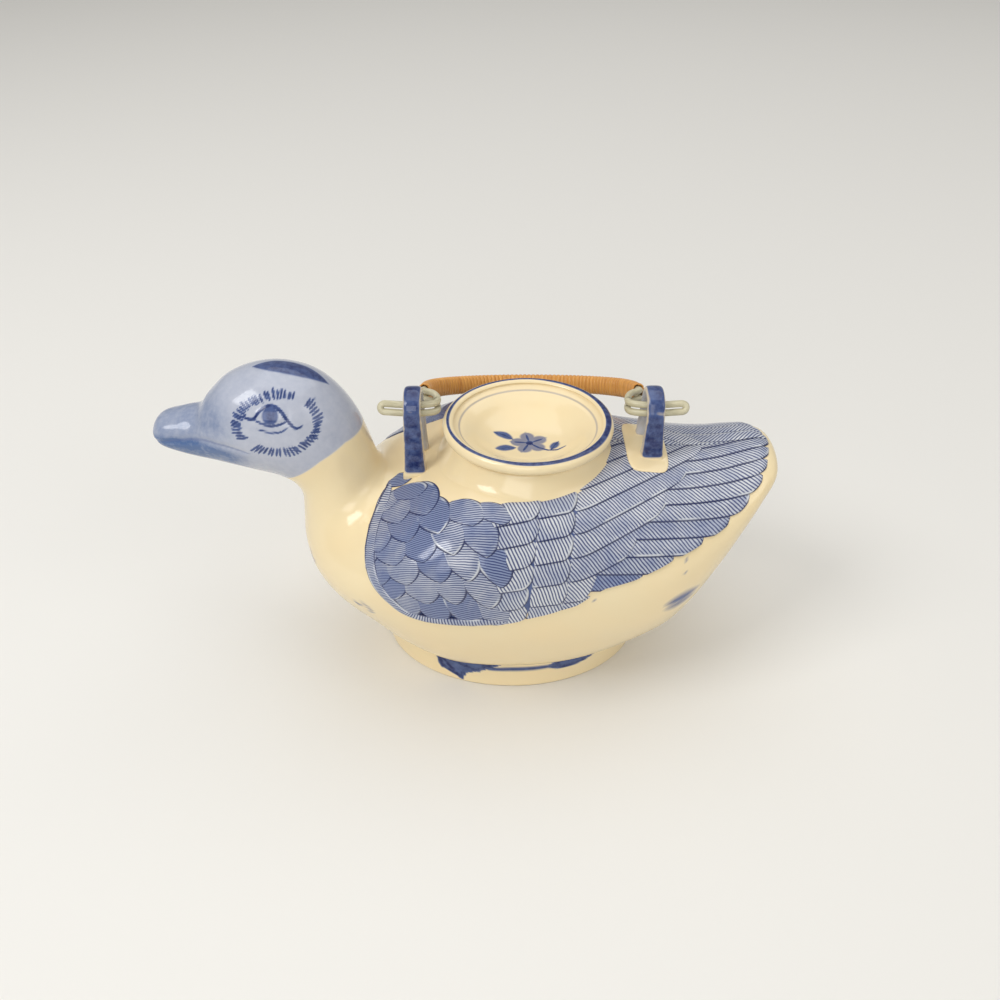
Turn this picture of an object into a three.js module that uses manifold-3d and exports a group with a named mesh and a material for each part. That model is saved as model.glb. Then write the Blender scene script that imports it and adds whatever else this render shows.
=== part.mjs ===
// Duck-shaped porcelain teapot. The hollow neck and bill are its spout, a dished lid sits in a raised
// collar on its back, and a cane bail hangs in two strap lugs, folded back behind the lid.
// Millimetres, +Z up. The duck faces -X. The origin is under the middle of the whole, on the table.
import * as THREE from 'three';
import { mergeVertices } from 'three/addons/utils/BufferGeometryUtils.js';
import Module from 'manifold-3d';

// Pot
const POT_LENGTH = 210.4;
const POT_WIDTH = 100;
const POT_HEIGHT = 108.2;
const HEAD_WIDTH = 36.4;
const WALL = 4;
const WING_RELIEF = 0.9;
const WING_PARTING = 1.6;
const BARE_BACK = 63;
const BARE_SET_BACK = 1;
const BARE_LUG = 23;
const SPOUT_WIDTH = 10;
const SPOUT_HEIGHT = 5.6;
const SOFT_EDGE = 0.7;

// Foot ring
const FOOT_LENGTH = 95.6;
const FOOT_WIDTH = 71.4;
const FOOT_NECK_LENGTH = 97.6;
const FOOT_NECK_WIDTH = 61;
const FOOT_WALL = 4.8;
const BELLY_CLEARANCE = 5;

// Lid and collar
const LID_DIAMETER = 57.4;
const LID_BEAD = 4.2;
const LID_WALL = 3;
const DISH_DEPTH = 7.4;
const LID_ABOVE_BACK = 5.8;
const LID_SET_BACK = 5;
const MOUTH_DIAMETER = 42;
const COLLAR_WALL = 5.2;
const COLLAR_TAPER = 2.4;
const LID_PLAY = 0.6;
const LID_EDGE_DROP = 5;
const LID_SHELF = 2.4;
const LID_SHELF_FALL = 1.4;

// Lugs
const LUG_SPACING = 79.4;
const LUG_ABOVE_BACK = 11.4;
const LUG_HOLE = 9.2;
const LUG_STRAP = 3.1;
const LUG_WIDTH = 5.8;
const LUG_FOOT_WIDTH = 7.4;
const LUG_SPREAD = 1.3;
const LUG_SET_BACK = 1.65;

// Bail: a doubled cane strand bound with a winding
const STRAND = 2.3;
const STRAND_SPACING = 2.75;
const BAIL_HEIGHT = 72;
const BAIL_LEAN_IN = 2;
const BAIL_CRANK = 3.5;
const BAIL_REST_DROP = 25.5;
const HOOK_REACH = 9.5;
const HOOK_RISE = 14;
const HOOK_CLEARANCE = 3.2;
const HOOK_BELLY = 1.5;
const HOOK_LIFT = 0.4;
const BINDING_TURNS = 24;
const BINDING_THICKNESS = 0.8;
const BINDING_GAP = 0.95;

// Seats between separate pieces
const SEAT = 0.3;

const glaze = { color: '#ece6d8', roughness: 0.18, metalness: 0 };
const cobalt = { color: '#33499a', roughness: 0.22, metalness: 0 };
const paleCane = { color: '#cfc7a6', roughness: 0.55, metalness: 0 };
const honeyCane = { color: '#c98f3c', roughness: 0.5, metalness: 0 };

const wasm = await Module();
wasm.setup();

// Cross sections of the pot from the bill's tip to the tail's end. Each is a plane through a point
// on the back line and a point on the belly line, fanned round at the neck. They are drawn in
// millimetres from the foot's centre and from the belly's lowest point, at this size:
const DRAWN = { length: 210.4, width: 100, height: 108.2, headWidth: 36.4 };
// back x, back z, belly x, belly z, half width of head, half width of body, height of the widest
// place as a share, fullness above it, fullness below it
const SECTIONS = [
  [-120.4, 84.4, -120.4, 84.2, 0, 0, 0.5, 2, 2],
  [-119.6, 87.8, -119.6, 81.8, 4.8, 0, 0.5, 2, 2],
  [-116.6, 90.4, -116.6, 79.2, 7.8, 0, 0.5, 2, 2],
  [-109.8, 92.2, -110.5, 76.8, 9.4, 0, 0.5, 2, 2],
  [-104, 93.6, -104.5, 75.2, 10.6, 0, 0.5, 2, 2],
  [-99.8, 98.4, -99.4, 74.2, 12.6, 0, 0.5, 2, 2],
  [-93.2, 104.2, -92.5, 72.8, 15.6, 0, 0.5, 2, 2],
  [-84.5, 107.6, -86, 71.2, 17.6, 0, 0.5, 2, 2],
  [-75, 108.2, -80, 69.4, 18.2, 0, 0.5, 2, 2],
  [-65.2, 105.2, -76.8, 67.6, 18.2, 0, 0.5, 2, 2],
  [-57.6, 98.6, -74.6, 65, 17.4, 0, 0.5, 2, 2],
  [-52, 89.6, -73.6, 61.4, 16.6, 0, 0.5, 2, 2],
  [-48.6, 79, -73.8, 56.6, 14.8, 2, 0.5, 2, 2],
  [-46, 70.6, -74.4, 50.4, 10.6, 8, 0.52, 2, 2],
  [-41.4, 68, -74.6, 43, 4.6, 20, 0.56, 2.05, 2],
  [-33.8, 70.6, -72.6, 34.8, 0, 35.6, 0.6, 2.3, 1.9],
  [-24.5, 74.6, -66.6, 26, 0, 44.6, 0.62, 2.6, 1.85],
  [-14.5, 78, -57, 17.2, 0, 48.6, 0.62, 2.7, 1.9],
  [-4.5, 80, -44, 8.8, 0, 50, 0.6, 2.6, 2],
  [6, 80.6, -27, 2.8, 0, 49.8, 0.58, 2.4, 2.1],
  [17, 80.4, -7, 0, 0, 48.6, 0.57, 2.3, 2.1],
  [28, 79.4, 14, 0.8, 0, 46.8, 0.56, 2.2, 2.1],
  [39, 78.2, 34, 4.8, 0, 44.4, 0.55, 2.1, 2.1],
  [50, 77.2, 51, 12, 0, 40.8, 0.55, 2.05, 2.1],
  [60, 77, 62, 21.8, 0, 36, 0.55, 2, 2.05],
  [69, 77.6, 69.6, 33.6, 0, 30.6, 0.55, 2, 2],
  [76.6, 79, 75.6, 45.8, 0, 25.6, 0.55, 2, 2],
  [83, 80, 81.4, 57.8, 0, 20.2, 0.55, 2, 2],
  [88.2, 78.4, 86.8, 67.8, 0, 13, 0.55, 2, 2],
  [90, 73.6, 89.8, 73.4, 0, 0, 0.55, 2, 2],
];
const LAST_SECTION = SECTIONS.length - 1;
// Sections between which the pot is hollow, where the bill meets the forehead, and where the neck
// is joined to the body
const CAVITY = { first: 4.4, last: LAST_SECTION - 1 };
const BILL_ROOT = 6;
const NECK_JOINT = 13.5;

// Side view of a folded wing, drawn as the sections are: front and lower edge from the shoulder to
// the wing's tip beside the tail. Above it the wing reaches up to the back's middle line.
const WING_EDGE = [
  [-36, 72], [-44.5, 66.5], [-47.6, 60], [-46.8, 54], [-42.5, 47.5], [-33, 42], [-19, 40.4],
  [-4, 41.2], [14, 45.8], [32, 52.4], [50, 58.6], [66, 64.4], [78, 71], [84.5, 77.6],
];

// Smooth interpolation of four neighbouring values, passing through the middle two
function between(before, start, end, after, t) {
  const linear = (end - before) * t;
  const square = (2 * before - 5 * start + 4 * end - after) * t * t;
  const cube = (3 * start - before - 3 * end + after) * t * t * t;
  return 0.5 * (2 * start + linear + square + cube);
}

// The pot's cross section at a place from 0, the bill's tip, to LAST_SECTION, the tail's end
function sectionAt(place) {
  const index = Math.min(Math.floor(place), LAST_SECTION - 1);
  const start = SECTIONS[index];
  const end = SECTIONS[index + 1];
  const before = SECTIONS[index - 1] ?? start.map((value, i) => 2 * value - end[i]);
  const after = SECTIONS[index + 2] ?? end.map((value, i) => 2 * value - start[i]);
  const drawn = start.map((value, i) => between(before[i], value, end[i], after[i], place - index));
  const [backX, backZ, bellyX, bellyZ, headHalf, bodyHalf, widest, backFullness, bellyFullness] = drawn;
  const along = POT_LENGTH / DRAWN.length;
  const up = POT_HEIGHT / DRAWN.height;
  const half = headHalf * HEAD_WIDTH / DRAWN.headWidth + bodyHalf * POT_WIDTH / DRAWN.width;
  return {
    back: new THREE.Vector3(backX * along, 0, backZ * up + BELLY_CLEARANCE),
    belly: new THREE.Vector3(bellyX * along, 0, bellyZ * up + BELLY_CLEARANCE),
    half: Math.max(half, 0),
    widest,
    backFullness,
    bellyFullness,
  };
}

// A point of the pot's skin, or of a skin that lies outside it by the given growth
function skinPoint(place, angle, growth = 0, narrowing = 1) {
  const section = sectionAt(place);
  const rise = Math.cos(angle);
  const side = Math.sin(angle);
  const fullness = rise >= 0 ? section.backFullness : section.bellyFullness;
  const reach = (Math.abs(rise) ** fullness + Math.abs(side) ** fullness) ** (-1 / fullness);
  const upright = section.back.clone().sub(section.belly);
  const height = upright.length();
  upright.divideScalar(height);
  const middle = height * section.widest;
  const length = (rise >= 0 ? height - middle : middle) + growth;
  const centre = section.belly.clone().addScaledVector(upright, middle);
  centre.addScaledVector(upright, rise * reach * length * narrowing);
  centre.y = side * reach * (section.half + growth) * narrowing;
  return centre;
}

// Closed body lofted through the sections: a sphere whose rings are set on the skin, from the first
// place to the last. With rounding, its ends narrow to domes instead of following the sections.
function loftedSkin({ first, last, rings, sides, growth, rounding = 0 }) {
  const geometry = new THREE.SphereGeometry(1, sides, rings);
  const position = geometry.attributes.position;
  for (let i = 0; i < position.count; i += 1) {
    const share = Math.floor(i / (sides + 1)) / rings;
    const angle = ((i % (sides + 1)) / sides) * 2 * Math.PI + Math.PI;
    const fromEnd = Math.min(share, 1 - share);
    const dome = Math.min(fromEnd * rounding, 1);
    const narrowing = fromEnd === 0 || rounding > 0 ? Math.sqrt(dome * (2 - dome)) : 1;
    const point = skinPoint(first + (last - first) * share, angle, growth, narrowing);
    position.setXYZ(i, point.x, point.y, point.z);
  }
  return geometry;
}

// Closed geometry to a solid that can be cut and joined
function solidOf(geometry) {
  const bare = geometry.clone();
  bare.deleteAttribute('normal');
  bare.deleteAttribute('uv');
  const merged = mergeVertices(bare, 1e-4);
  const corners = [];
  const index = merged.index.array;
  for (let i = 0; i < index.length; i += 3) {
    const [a, b, c] = [index[i], index[i + 1], index[i + 2]];
    if (a !== b && b !== c && c !== a) {
      corners.push(a, b, c);
    }
  }
  return new wasm.Manifold(new wasm.Mesh({
    numProp: 3,
    vertProperties: Float32Array.from(merged.attributes.position.array),
    triVerts: Uint32Array.from(corners),
  }));
}

// Solid back to geometry
function geometryOf(solid) {
  const mesh = solid.getMesh();
  const geometry = new THREE.BufferGeometry();
  geometry.setAttribute('position', new THREE.BufferAttribute(mesh.vertProperties, 3));
  geometry.setIndex(new THREE.BufferAttribute(mesh.triVerts, 1));
  geometry.computeVertexNormals();
  return geometry;
}

function piece(name, geometry, finish) {
  const mesh = new THREE.Mesh(geometry, new THREE.MeshStandardMaterial(finish));
  mesh.name = name;
  return mesh;
}

// Revolved ring or disc standing on +Z at a place on the mid-plane
function turned(profile, segments, x, z) {
  const points = profile.map(([radius, height]) => new THREE.Vector2(radius, height));
  return new THREE.LatheGeometry(points, segments).rotateX(Math.PI / 2).translate(x, 0, z);
}

// Height of the pot's back line at a place along the pot
function backHeight(x) {
  let low = LAST_SECTION / 2;
  let high = LAST_SECTION;
  for (let step = 0; step < 40; step += 1) {
    const middle = (low + high) / 2;
    if (sectionAt(middle).back.x < x) {
      low = middle;
    } else {
      high = middle;
    }
  }
  return sectionAt(low).back.z;
}

const lidX = LID_SET_BACK;
const lidPlane = backHeight(lidX) + LID_ABOVE_BACK;
const mouthRadius = MOUTH_DIAMETER / 2;
const seatHeight = lidPlane - LID_BEAD / 2 - SEAT;
const lugEyeHeight = backHeight(lidX) + LUG_ABOVE_BACK;
const lugMiddleX = lidX + LUG_SET_BACK;
const wholePot = { first: 0, last: LAST_SECTION, rings: 46, sides: 28 };
const potSolid = solidOf(loftedSkin({ ...wholePot, growth: 0 }));
const potWithSeat = solidOf(loftedSkin({ ...wholePot, growth: SEAT }));

// Solid of both folded wings, a little larger than the pot, cut off along their edge in side view
function wingSolid() {
  const along = POT_LENGTH / DRAWN.length;
  const up = POT_HEIGHT / DRAWN.height;
  const edge = WING_EDGE.map(([x, z]) => new THREE.Vector2(x * along, z * up + BELLY_CLEARANCE));
  const outline = new THREE.Shape();
  outline.moveTo(edge[0].x, POT_HEIGHT + BELLY_CLEARANCE);
  outline.lineTo(edge[0].x, edge[0].y);
  outline.splineThru(edge.slice(1));
  outline.lineTo(edge.at(-1).x, POT_HEIGHT + BELLY_CLEARANCE);
  const swollen = solidOf(loftedSkin({ ...wholePot, growth: WING_RELIEF }));
  const reach = POT_WIDTH;
  const slab = new THREE.ExtrudeGeometry(outline, { depth: reach, bevelEnabled: false, curveSegments: 26 });
  slab.rotateX(Math.PI / 2);
  const near = solidOf(slab.clone().translate(0, -WING_PARTING / 2, 0));
  const far = solidOf(slab.clone().translate(0, reach + WING_PARTING / 2, 0));
  const bare = [
    bareDisc(BARE_BACK, BARE_SET_BACK),
    bareDisc(BARE_LUG, lugMiddleX - LUG_SPACING / 2),
    bareDisc(BARE_LUG, lugMiddleX + LUG_SPACING / 2),
  ];
  return bare.reduce((wings, disc) => wings.subtract(disc), swollen.intersect(near.add(far)));
}

// Upright round bar that keeps the wings' relief off a part of the back
function bareDisc(diameter, x) {
  const bar = new THREE.CylinderGeometry(diameter / 2, diameter / 2, POT_HEIGHT, 40);
  return solidOf(bar.rotateX(Math.PI / 2).translate(x, 0, BELLY_CLEARANCE + POT_HEIGHT));
}

// Everything of the pot that lies on the head's side of the neck's joint, kept back by a distance
function headSide(distance) {
  const joint = sectionAt(NECK_JOINT);
  const upright = joint.back.clone().sub(joint.belly).normalize();
  const headwards = new THREE.Vector3(-upright.z, 0, upright.x);
  const reach = 2 * POT_LENGTH;
  const block = new THREE.BoxGeometry(reach, reach, reach).rotateY(Math.atan2(upright.x, upright.z));
  const centre = joint.belly.clone().addScaledVector(headwards, reach / 2 + distance);
  return solidOf(block.translate(centre.x, centre.y, centre.z));
}

// Hollow pot: outer skin and wings, less the cavity, the mouth in the back and the slot in the bill
function hollowPot() {
  const cavity = solidOf(loftedSkin({ ...CAVITY, rings: 22, sides: 18, growth: -WALL, rounding: 11 }));
  const mouth = new THREE.CylinderGeometry(mouthRadius, mouthRadius, POT_HEIGHT, 40);
  mouth.rotateX(Math.PI / 2).translate(lidX, 0, BELLY_CLEARANCE + POT_HEIGHT);
  const billTip = sectionAt(0).back;
  const billRoot = sectionAt(BILL_ROOT).back.x;
  const slot = new THREE.CylinderGeometry(0.5, 0.5, 1, 20);
  slot.rotateZ(Math.PI / 2);
  slot.scale(2 * (billRoot - billTip.x), SPOUT_WIDTH, SPOUT_HEIGHT);
  slot.translate(billTip.x, 0, billTip.z);
  const cuts = [cavity, solidOf(mouth), solidOf(slot)];
  return cuts.reduce((pot, cut) => pot.subtract(cut), potSolid.add(wingSolid()));
}

// Oval foot: a ring whose width narrows towards the belly, cut by the belly that it carries
function footGeometry() {
  const base = FOOT_LENGTH / 2;
  const neck = FOOT_NECK_LENGTH / 2;
  const top = BELLY_CLEARANCE + POT_HEIGHT / 6;
  const ring = turned([
    [base - SOFT_EDGE, 0], [base, SOFT_EDGE], [neck, top], [neck - FOOT_WALL, top],
    [base - FOOT_WALL, SOFT_EDGE], [base - FOOT_WALL + SOFT_EDGE, 0],
    [base - SOFT_EDGE, 0],
  ], 44, 0, 0);
  const position = ring.attributes.position;
  for (let i = 0; i < position.count; i += 1) {
    const share = position.getZ(i) / top;
    const oval = THREE.MathUtils.lerp(FOOT_WIDTH / FOOT_LENGTH, FOOT_NECK_WIDTH / FOOT_NECK_LENGTH, share);
    position.setY(i, position.getY(i) * oval);
  }
  return geometryOf(solidOf(ring).subtract(potWithSeat));
}

// Collar round the mouth, flaring up to the lid's seat and cut by the back that it stands on
function collarGeometry() {
  const depth = POT_HEIGHT / 5;
  const outer = mouthRadius + COLLAR_WALL;
  const slope = COLLAR_TAPER / (LID_ABOVE_BACK + LID_BEAD);
  const ring = turned([
    [mouthRadius, -depth], [outer - slope * depth, -depth], [outer, -SOFT_EDGE], [outer - SOFT_EDGE, 0],
    [mouthRadius, 0], [mouthRadius, -depth],
  ], 40, lidX, seatHeight);
  return geometryOf(solidOf(ring).subtract(potWithSeat));
}

// Dished lid: beaded rim, shallow bowl, and a turned locating edge that drops inside the collar
function lidGeometry() {
  const bead = LID_BEAD / 2;
  const rim = LID_DIAMETER / 2 - bead;
  const locating = mouthRadius - LID_PLAY;
  const underside = -DISH_DEPTH - LID_WALL;
  const outside = [
    [0, underside],
    [locating * 0.45, underside * 0.99],
    [locating * 0.72, underside * 0.86],
    [locating * 0.92, -LID_EDGE_DROP - SOFT_EDGE],
    [locating, -LID_EDGE_DROP + SOFT_EDGE],
    [locating, -bead],
  ];
  const beadArc = [-90, -60, -30, 0, 30, 60, 90, 125, 155].map((degrees) => {
    const turn = THREE.MathUtils.degToRad(degrees);
    return [rim + bead * Math.cos(turn), bead * Math.sin(turn)];
  });
  const shelf = rim - bead - LID_SHELF;
  const inside = [
    [shelf + LID_SHELF / 2, 0],
    [shelf, -LID_SHELF_FALL],
    [locating * 0.8, -DISH_DEPTH * 0.58],
    [locating * 0.6, -DISH_DEPTH * 0.84],
    [locating * 0.34, -DISH_DEPTH * 0.98],
    [0, -DISH_DEPTH],
  ];
  return geometryOf(solidOf(turned([...outside, ...beadArc, ...inside], 40, lidX, lidPlane)));
}

// Strap lug: an upside-down U that spreads and widens towards its feet, cut by the back it stands on
function lugGeometry(x) {
  const inner = LUG_HOLE / 2;
  const outer = inner + LUG_STRAP;
  const drop = LUG_ABOVE_BACK + POT_HEIGHT / 5;
  const outline = new THREE.Shape();
  outline.moveTo(outer + LUG_SPREAD, -drop);
  outline.lineTo(outer, 0);
  outline.absarc(0, 0, outer, 0, Math.PI, false);
  outline.lineTo(-outer - LUG_SPREAD, -drop);
  outline.lineTo(-inner, -drop);
  outline.lineTo(-inner, 0);
  outline.absarc(0, 0, inner, Math.PI, 0, true);
  outline.lineTo(inner, -drop);
  const strap = new THREE.ExtrudeGeometry(outline, {
    depth: LUG_WIDTH - 2 * SOFT_EDGE,
    bevelThickness: SOFT_EDGE,
    bevelSize: SOFT_EDGE,
    bevelOffset: -SOFT_EDGE,
    bevelSegments: 1,
    curveSegments: 12,
  });
  strap.translate(0, 0, SOFT_EDGE - LUG_WIDTH / 2);
  strap.rotateX(Math.PI / 2).rotateZ(Math.PI / 2);
  const position = strap.attributes.position;
  for (let i = 0; i < position.count; i += 1) {
    const share = THREE.MathUtils.clamp(-position.getZ(i) / (LUG_ABOVE_BACK + outer), 0, 1);
    position.setX(i, position.getX(i) * THREE.MathUtils.lerp(1, LUG_FOOT_WIDTH / LUG_WIDTH, share));
  }
  strap.translate(x, 0, lugEyeHeight);
  return geometryOf(solidOf(strap).subtract(potWithSeat));
}

// The bail's own directions at rest: outwards from the hinge line, and square to the bail's plane
const restDrop = THREE.MathUtils.degToRad(BAIL_REST_DROP);
const bailOut = new THREE.Vector3(0, Math.cos(restDrop), -Math.sin(restDrop));
const bailSquare = new THREE.Vector3(0, Math.sin(restDrop), Math.cos(restDrop));

// A place on the bail from its distance along the hinge line, out from it, and off its plane
function bailPoint(x, out, off) {
  const point = new THREE.Vector3(lugMiddleX + x, 0, lugEyeHeight);
  return point.addScaledVector(bailOut, out).addScaledVector(bailSquare, off);
}

// Middle line of the bail: hook through the front lug, arch, hook through the rear lug
function bailLine() {
  const lug = LUG_SPACING / 2;
  const leg = lug - BAIL_LEAN_IN;
  const spring = BAIL_HEIGHT - leg;
  const bend = lug - LUG_WIDTH / 2 - HOOK_CLEARANCE;
  const hook = [
    [lug + HOOK_REACH, 0, HOOK_LIFT],
    [lug + LUG_WIDTH / 2, 0, 0],
    [lug - LUG_WIDTH / 2, 0, 0],
    [bend - HOOK_BELLY * 0.7, HOOK_RISE * 0.16, HOOK_LIFT],
    [bend - HOOK_BELLY, HOOK_RISE * 0.42, BAIL_CRANK * 0.4],
    [bend, HOOK_RISE * 0.72, BAIL_CRANK * 0.8],
    [leg - HOOK_BELLY * 0.4, HOOK_RISE, BAIL_CRANK],
    [leg, (HOOK_RISE + spring) / 2, BAIL_CRANK],
  ];
  const arch = [];
  const steps = 10;
  for (let step = 0; step <= steps; step += 1) {
    const turn = (step / steps) * Math.PI;
    arch.push([-leg * Math.cos(turn), spring + leg * Math.sin(turn), BAIL_CRANK]);
  }
  const front = hook.map(([x, out, off]) => bailPoint(-x, out, off));
  const rear = hook.map(([x, out, off]) => bailPoint(x, out, off)).reverse();
  const middle = arch.map(([x, out, off]) => bailPoint(x, out, off));
  return new THREE.CatmullRomCurve3([...front, ...middle, ...rear], false, 'centripetal');
}

const bailCurve = bailLine();

// Unbroken tube with closed ends: a ring of points at every step, joined to the next
function joinedRings(rings) {
  const sides = rings[0].length;
  const positions = rings.flat().flatMap((point) => [point.x, point.y, point.z]);
  const index = [];
  for (let ring = 0; ring < rings.length - 1; ring += 1) {
    for (let side = 0; side < sides; side += 1) {
      const next = (side + 1) % sides;
      const [a, b] = [ring * sides + side, ring * sides + next];
      const [c, d] = [a + sides, b + sides];
      index.push(a, b, c, b, d, c);
    }
  }
  const lastRing = (rings.length - 1) * sides;
  for (let side = 1; side < sides - 1; side += 1) {
    index.push(0, side + 1, side);
    index.push(lastRing, lastRing + side, lastRing + side + 1);
  }
  const geometry = new THREE.BufferGeometry();
  geometry.setAttribute('position', new THREE.Float32BufferAttribute(positions, 3));
  geometry.setIndex(index);
  geometry.computeVertexNormals();
  return geometry;
}

// Round strand along a list of points, its rings turned as little as possible from step to step
function strandAlong(points, radius, sides) {
  const across = new THREE.Vector3(0, 1, 0.3);
  const rings = points.map((point, i) => {
    const ahead = points[Math.min(i + 1, points.length - 1)];
    const behind = points[Math.max(i - 1, 0)];
    const along = ahead.clone().sub(behind).normalize();
    across.addScaledVector(along, -across.dot(along)).normalize();
    const square = along.clone().cross(across);
    return Array.from({ length: sides }, (_, side) => {
      const turn = (side / sides) * 2 * Math.PI;
      const rim = point.clone().addScaledVector(across, radius * Math.cos(turn));
      return rim.addScaledVector(square, radius * Math.sin(turn));
    });
  });
  return joinedRings(rings);
}

// Doubled strand: it leaves the top of the bail along one lane, turns back in a hairpin beyond the
// front lug, follows the other lane to the rear lug's hairpin, and meets its start under the winding
function strandGeometry() {
  const lane = STRAND_SPACING / 2;
  const steps = 72;
  const line = Array.from({ length: steps + 1 }, (_, i) => bailCurve.getPointAt(i / steps));
  const start = Math.round(steps * 0.46);
  const offLane = (point, off) => point.clone().addScaledVector(bailSquare, off);
  const hairpin = (end, outwards, from) => [-60, -30, 0, 30, 60].map((degrees) => {
    const turn = THREE.MathUtils.degToRad(degrees) * from;
    const tip = end.clone().addScaledVector(outwards, lane * Math.cos(turn));
    return tip.addScaledVector(bailSquare, lane * Math.sin(turn));
  });
  const frontwards = new THREE.Vector3(-1, 0, 0);
  const rearwards = new THREE.Vector3(1, 0, 0);
  const points = [
    ...line.slice(0, start).reverse().map((point) => offLane(point, lane)),
    ...hairpin(line[0], frontwards, -1),
    ...line.map((point) => offLane(point, -lane)),
    ...hairpin(line[steps], rearwards, 1),
    ...line.slice(start + 1).reverse().map((point) => offLane(point, lane)),
  ];
  return strandAlong(points, STRAND / 2, 7);
}

// Cane winding round the doubled strand: a flat band, wound in one piece from hook to hook
function bindingGeometry() {
  const stepsPerTurn = 14;
  const lineLength = bailCurve.getLength();
  const hookLength = HOOK_REACH + LUG_WIDTH / 2 + 3 * STRAND + HOOK_RISE + BAIL_CRANK;
  const first = hookLength / lineLength;
  const pitch = ((1 - 2 * first) * lineLength) / BINDING_TURNS;
  const bandWidth = pitch - BINDING_GAP;
  const core = STRAND / 2 + SEAT;
  const lane = STRAND_SPACING / 2;
  const steps = BINDING_TURNS * stepsPerTurn;
  const shape = [[-0.5, 0], [-0.36, -0.5], [0.36, -0.5], [0.5, 0], [0.36, 0.5], [-0.36, 0.5]];
  const middles = [];
  const rings = Array.from({ length: steps + 1 }, (_, step) => {
    const place = first + ((1 - 2 * first) * step) / steps;
    const centre = bailCurve.getPointAt(place);
    const along = bailCurve.getTangentAt(place);
    const square = bailSquare.clone().addScaledVector(along, -bailSquare.dot(along)).normalize();
    const across = along.clone().cross(square);
    const turn = (step / stepsPerTurn) * 2 * Math.PI;
    const outwards = square.clone().multiplyScalar(Math.cos(turn)).addScaledVector(across, Math.sin(turn));
    const shift = THREE.MathUtils.clamp(1.7 * Math.cos(turn), -1, 1) * lane;
    const base = centre.clone().addScaledVector(square, shift);
    middles.push(base.clone().addScaledVector(outwards, core + BINDING_THICKNESS / 2));
    return shape.map(([width, thick]) => {
      const point = base.clone().addScaledVector(along, width * bandWidth);
      return point.addScaledVector(outwards, core + BINDING_THICKNESS * (0.5 + thick));
    });
  });
  return { geometry: joinedRings(rings), middles, stepsPerTurn, bandWidth };
}

// Least gap between neighbouring turns of the winding, measured on its band's middle line
function leastTurnGap({ middles, stepsPerTurn, bandWidth }) {
  let least = Infinity;
  for (let i = 0; i + stepsPerTurn < middles.length; i += 1) {
    least = Math.min(least, middles[i].distanceTo(middles[i + stepsPerTurn]) - bandWidth);
  }
  return least;
}

const binding = bindingGeometry();
console.log(`winding: least gap between turns ${leastTurnGap(binding).toFixed(2)} mm`);

const hollow = hollowPot();
const fixedPot = new THREE.Group();
fixedPot.add(
  piece('duck_body', geometryOf(hollow.subtract(headSide(-SEAT / 2))), glaze),
  piece('duck_head', geometryOf(hollow.intersect(headSide(SEAT / 2))), glaze),
  piece('foot_ring', footGeometry(), glaze),
  piece('mouth_collar', collarGeometry(), glaze),
  piece('front_lug', lugGeometry(lugMiddleX - LUG_SPACING / 2), cobalt),
  piece('rear_lug', lugGeometry(lugMiddleX + LUG_SPACING / 2), cobalt),
);

const bail = new THREE.Group();
bail.add(
  piece('bail_strand', strandGeometry(), paleCane),
  piece('bail_binding', binding.geometry, honeyCane),
);

const teapot = new THREE.Group();
teapot.add(fixedPot, piece('lid', lidGeometry(), glaze), bail);

// The origin goes under the middle of the whole, at the height of the table
const box = new THREE.Box3().setFromObject(teapot);
teapot.position.set(-(box.min.x + box.max.x) / 2, -(box.min.y + box.max.y) / 2, -box.min.z);

export default teapot;
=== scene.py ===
"""Duck-shaped porcelain teapot, painted in cobalt under the glaze, with a dished lid and a cane bail.

The pot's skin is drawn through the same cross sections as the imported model, only finer. Lengths are
in millimetres until a vertex is placed. The duck faces -X and stands on the table at height 0. On
the wings, s is the place along the pot and girth is the way down the skin from the back's middle.
"""

import enum
import logging
import math
from dataclasses import dataclass, field, replace
from typing import Callable

import bmesh
import bpy
import numpy as np
from mathutils import Matrix, Vector


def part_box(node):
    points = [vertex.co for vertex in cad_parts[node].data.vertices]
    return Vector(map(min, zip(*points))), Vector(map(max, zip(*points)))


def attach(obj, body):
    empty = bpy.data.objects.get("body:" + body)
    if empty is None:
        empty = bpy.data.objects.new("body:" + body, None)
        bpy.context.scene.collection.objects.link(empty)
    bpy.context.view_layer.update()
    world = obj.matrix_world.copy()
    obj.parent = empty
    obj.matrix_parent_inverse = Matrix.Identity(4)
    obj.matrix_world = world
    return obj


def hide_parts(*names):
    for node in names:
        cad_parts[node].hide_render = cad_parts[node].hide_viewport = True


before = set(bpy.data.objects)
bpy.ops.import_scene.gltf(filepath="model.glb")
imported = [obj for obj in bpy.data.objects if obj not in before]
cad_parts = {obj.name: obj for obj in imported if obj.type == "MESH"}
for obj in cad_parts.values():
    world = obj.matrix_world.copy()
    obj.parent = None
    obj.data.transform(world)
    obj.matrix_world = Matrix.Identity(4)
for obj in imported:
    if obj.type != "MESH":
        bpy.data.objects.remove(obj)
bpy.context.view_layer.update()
MM = 0.001
GLAZE_IOR = 1.52  # a clear feldspar glaze bends light about as window glass does
Array = np.ndarray
Placed = tuple[Array, dict[str, Array]]
log = logging.getLogger("teapot")

# Length, height and widths at which the sections are drawn, one for each of a section's numbers
DRAWN_SIZE = (210.4, 108.2, 210.4, 108.2, 36.4, 100.0, 1, 1, 1)

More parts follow.
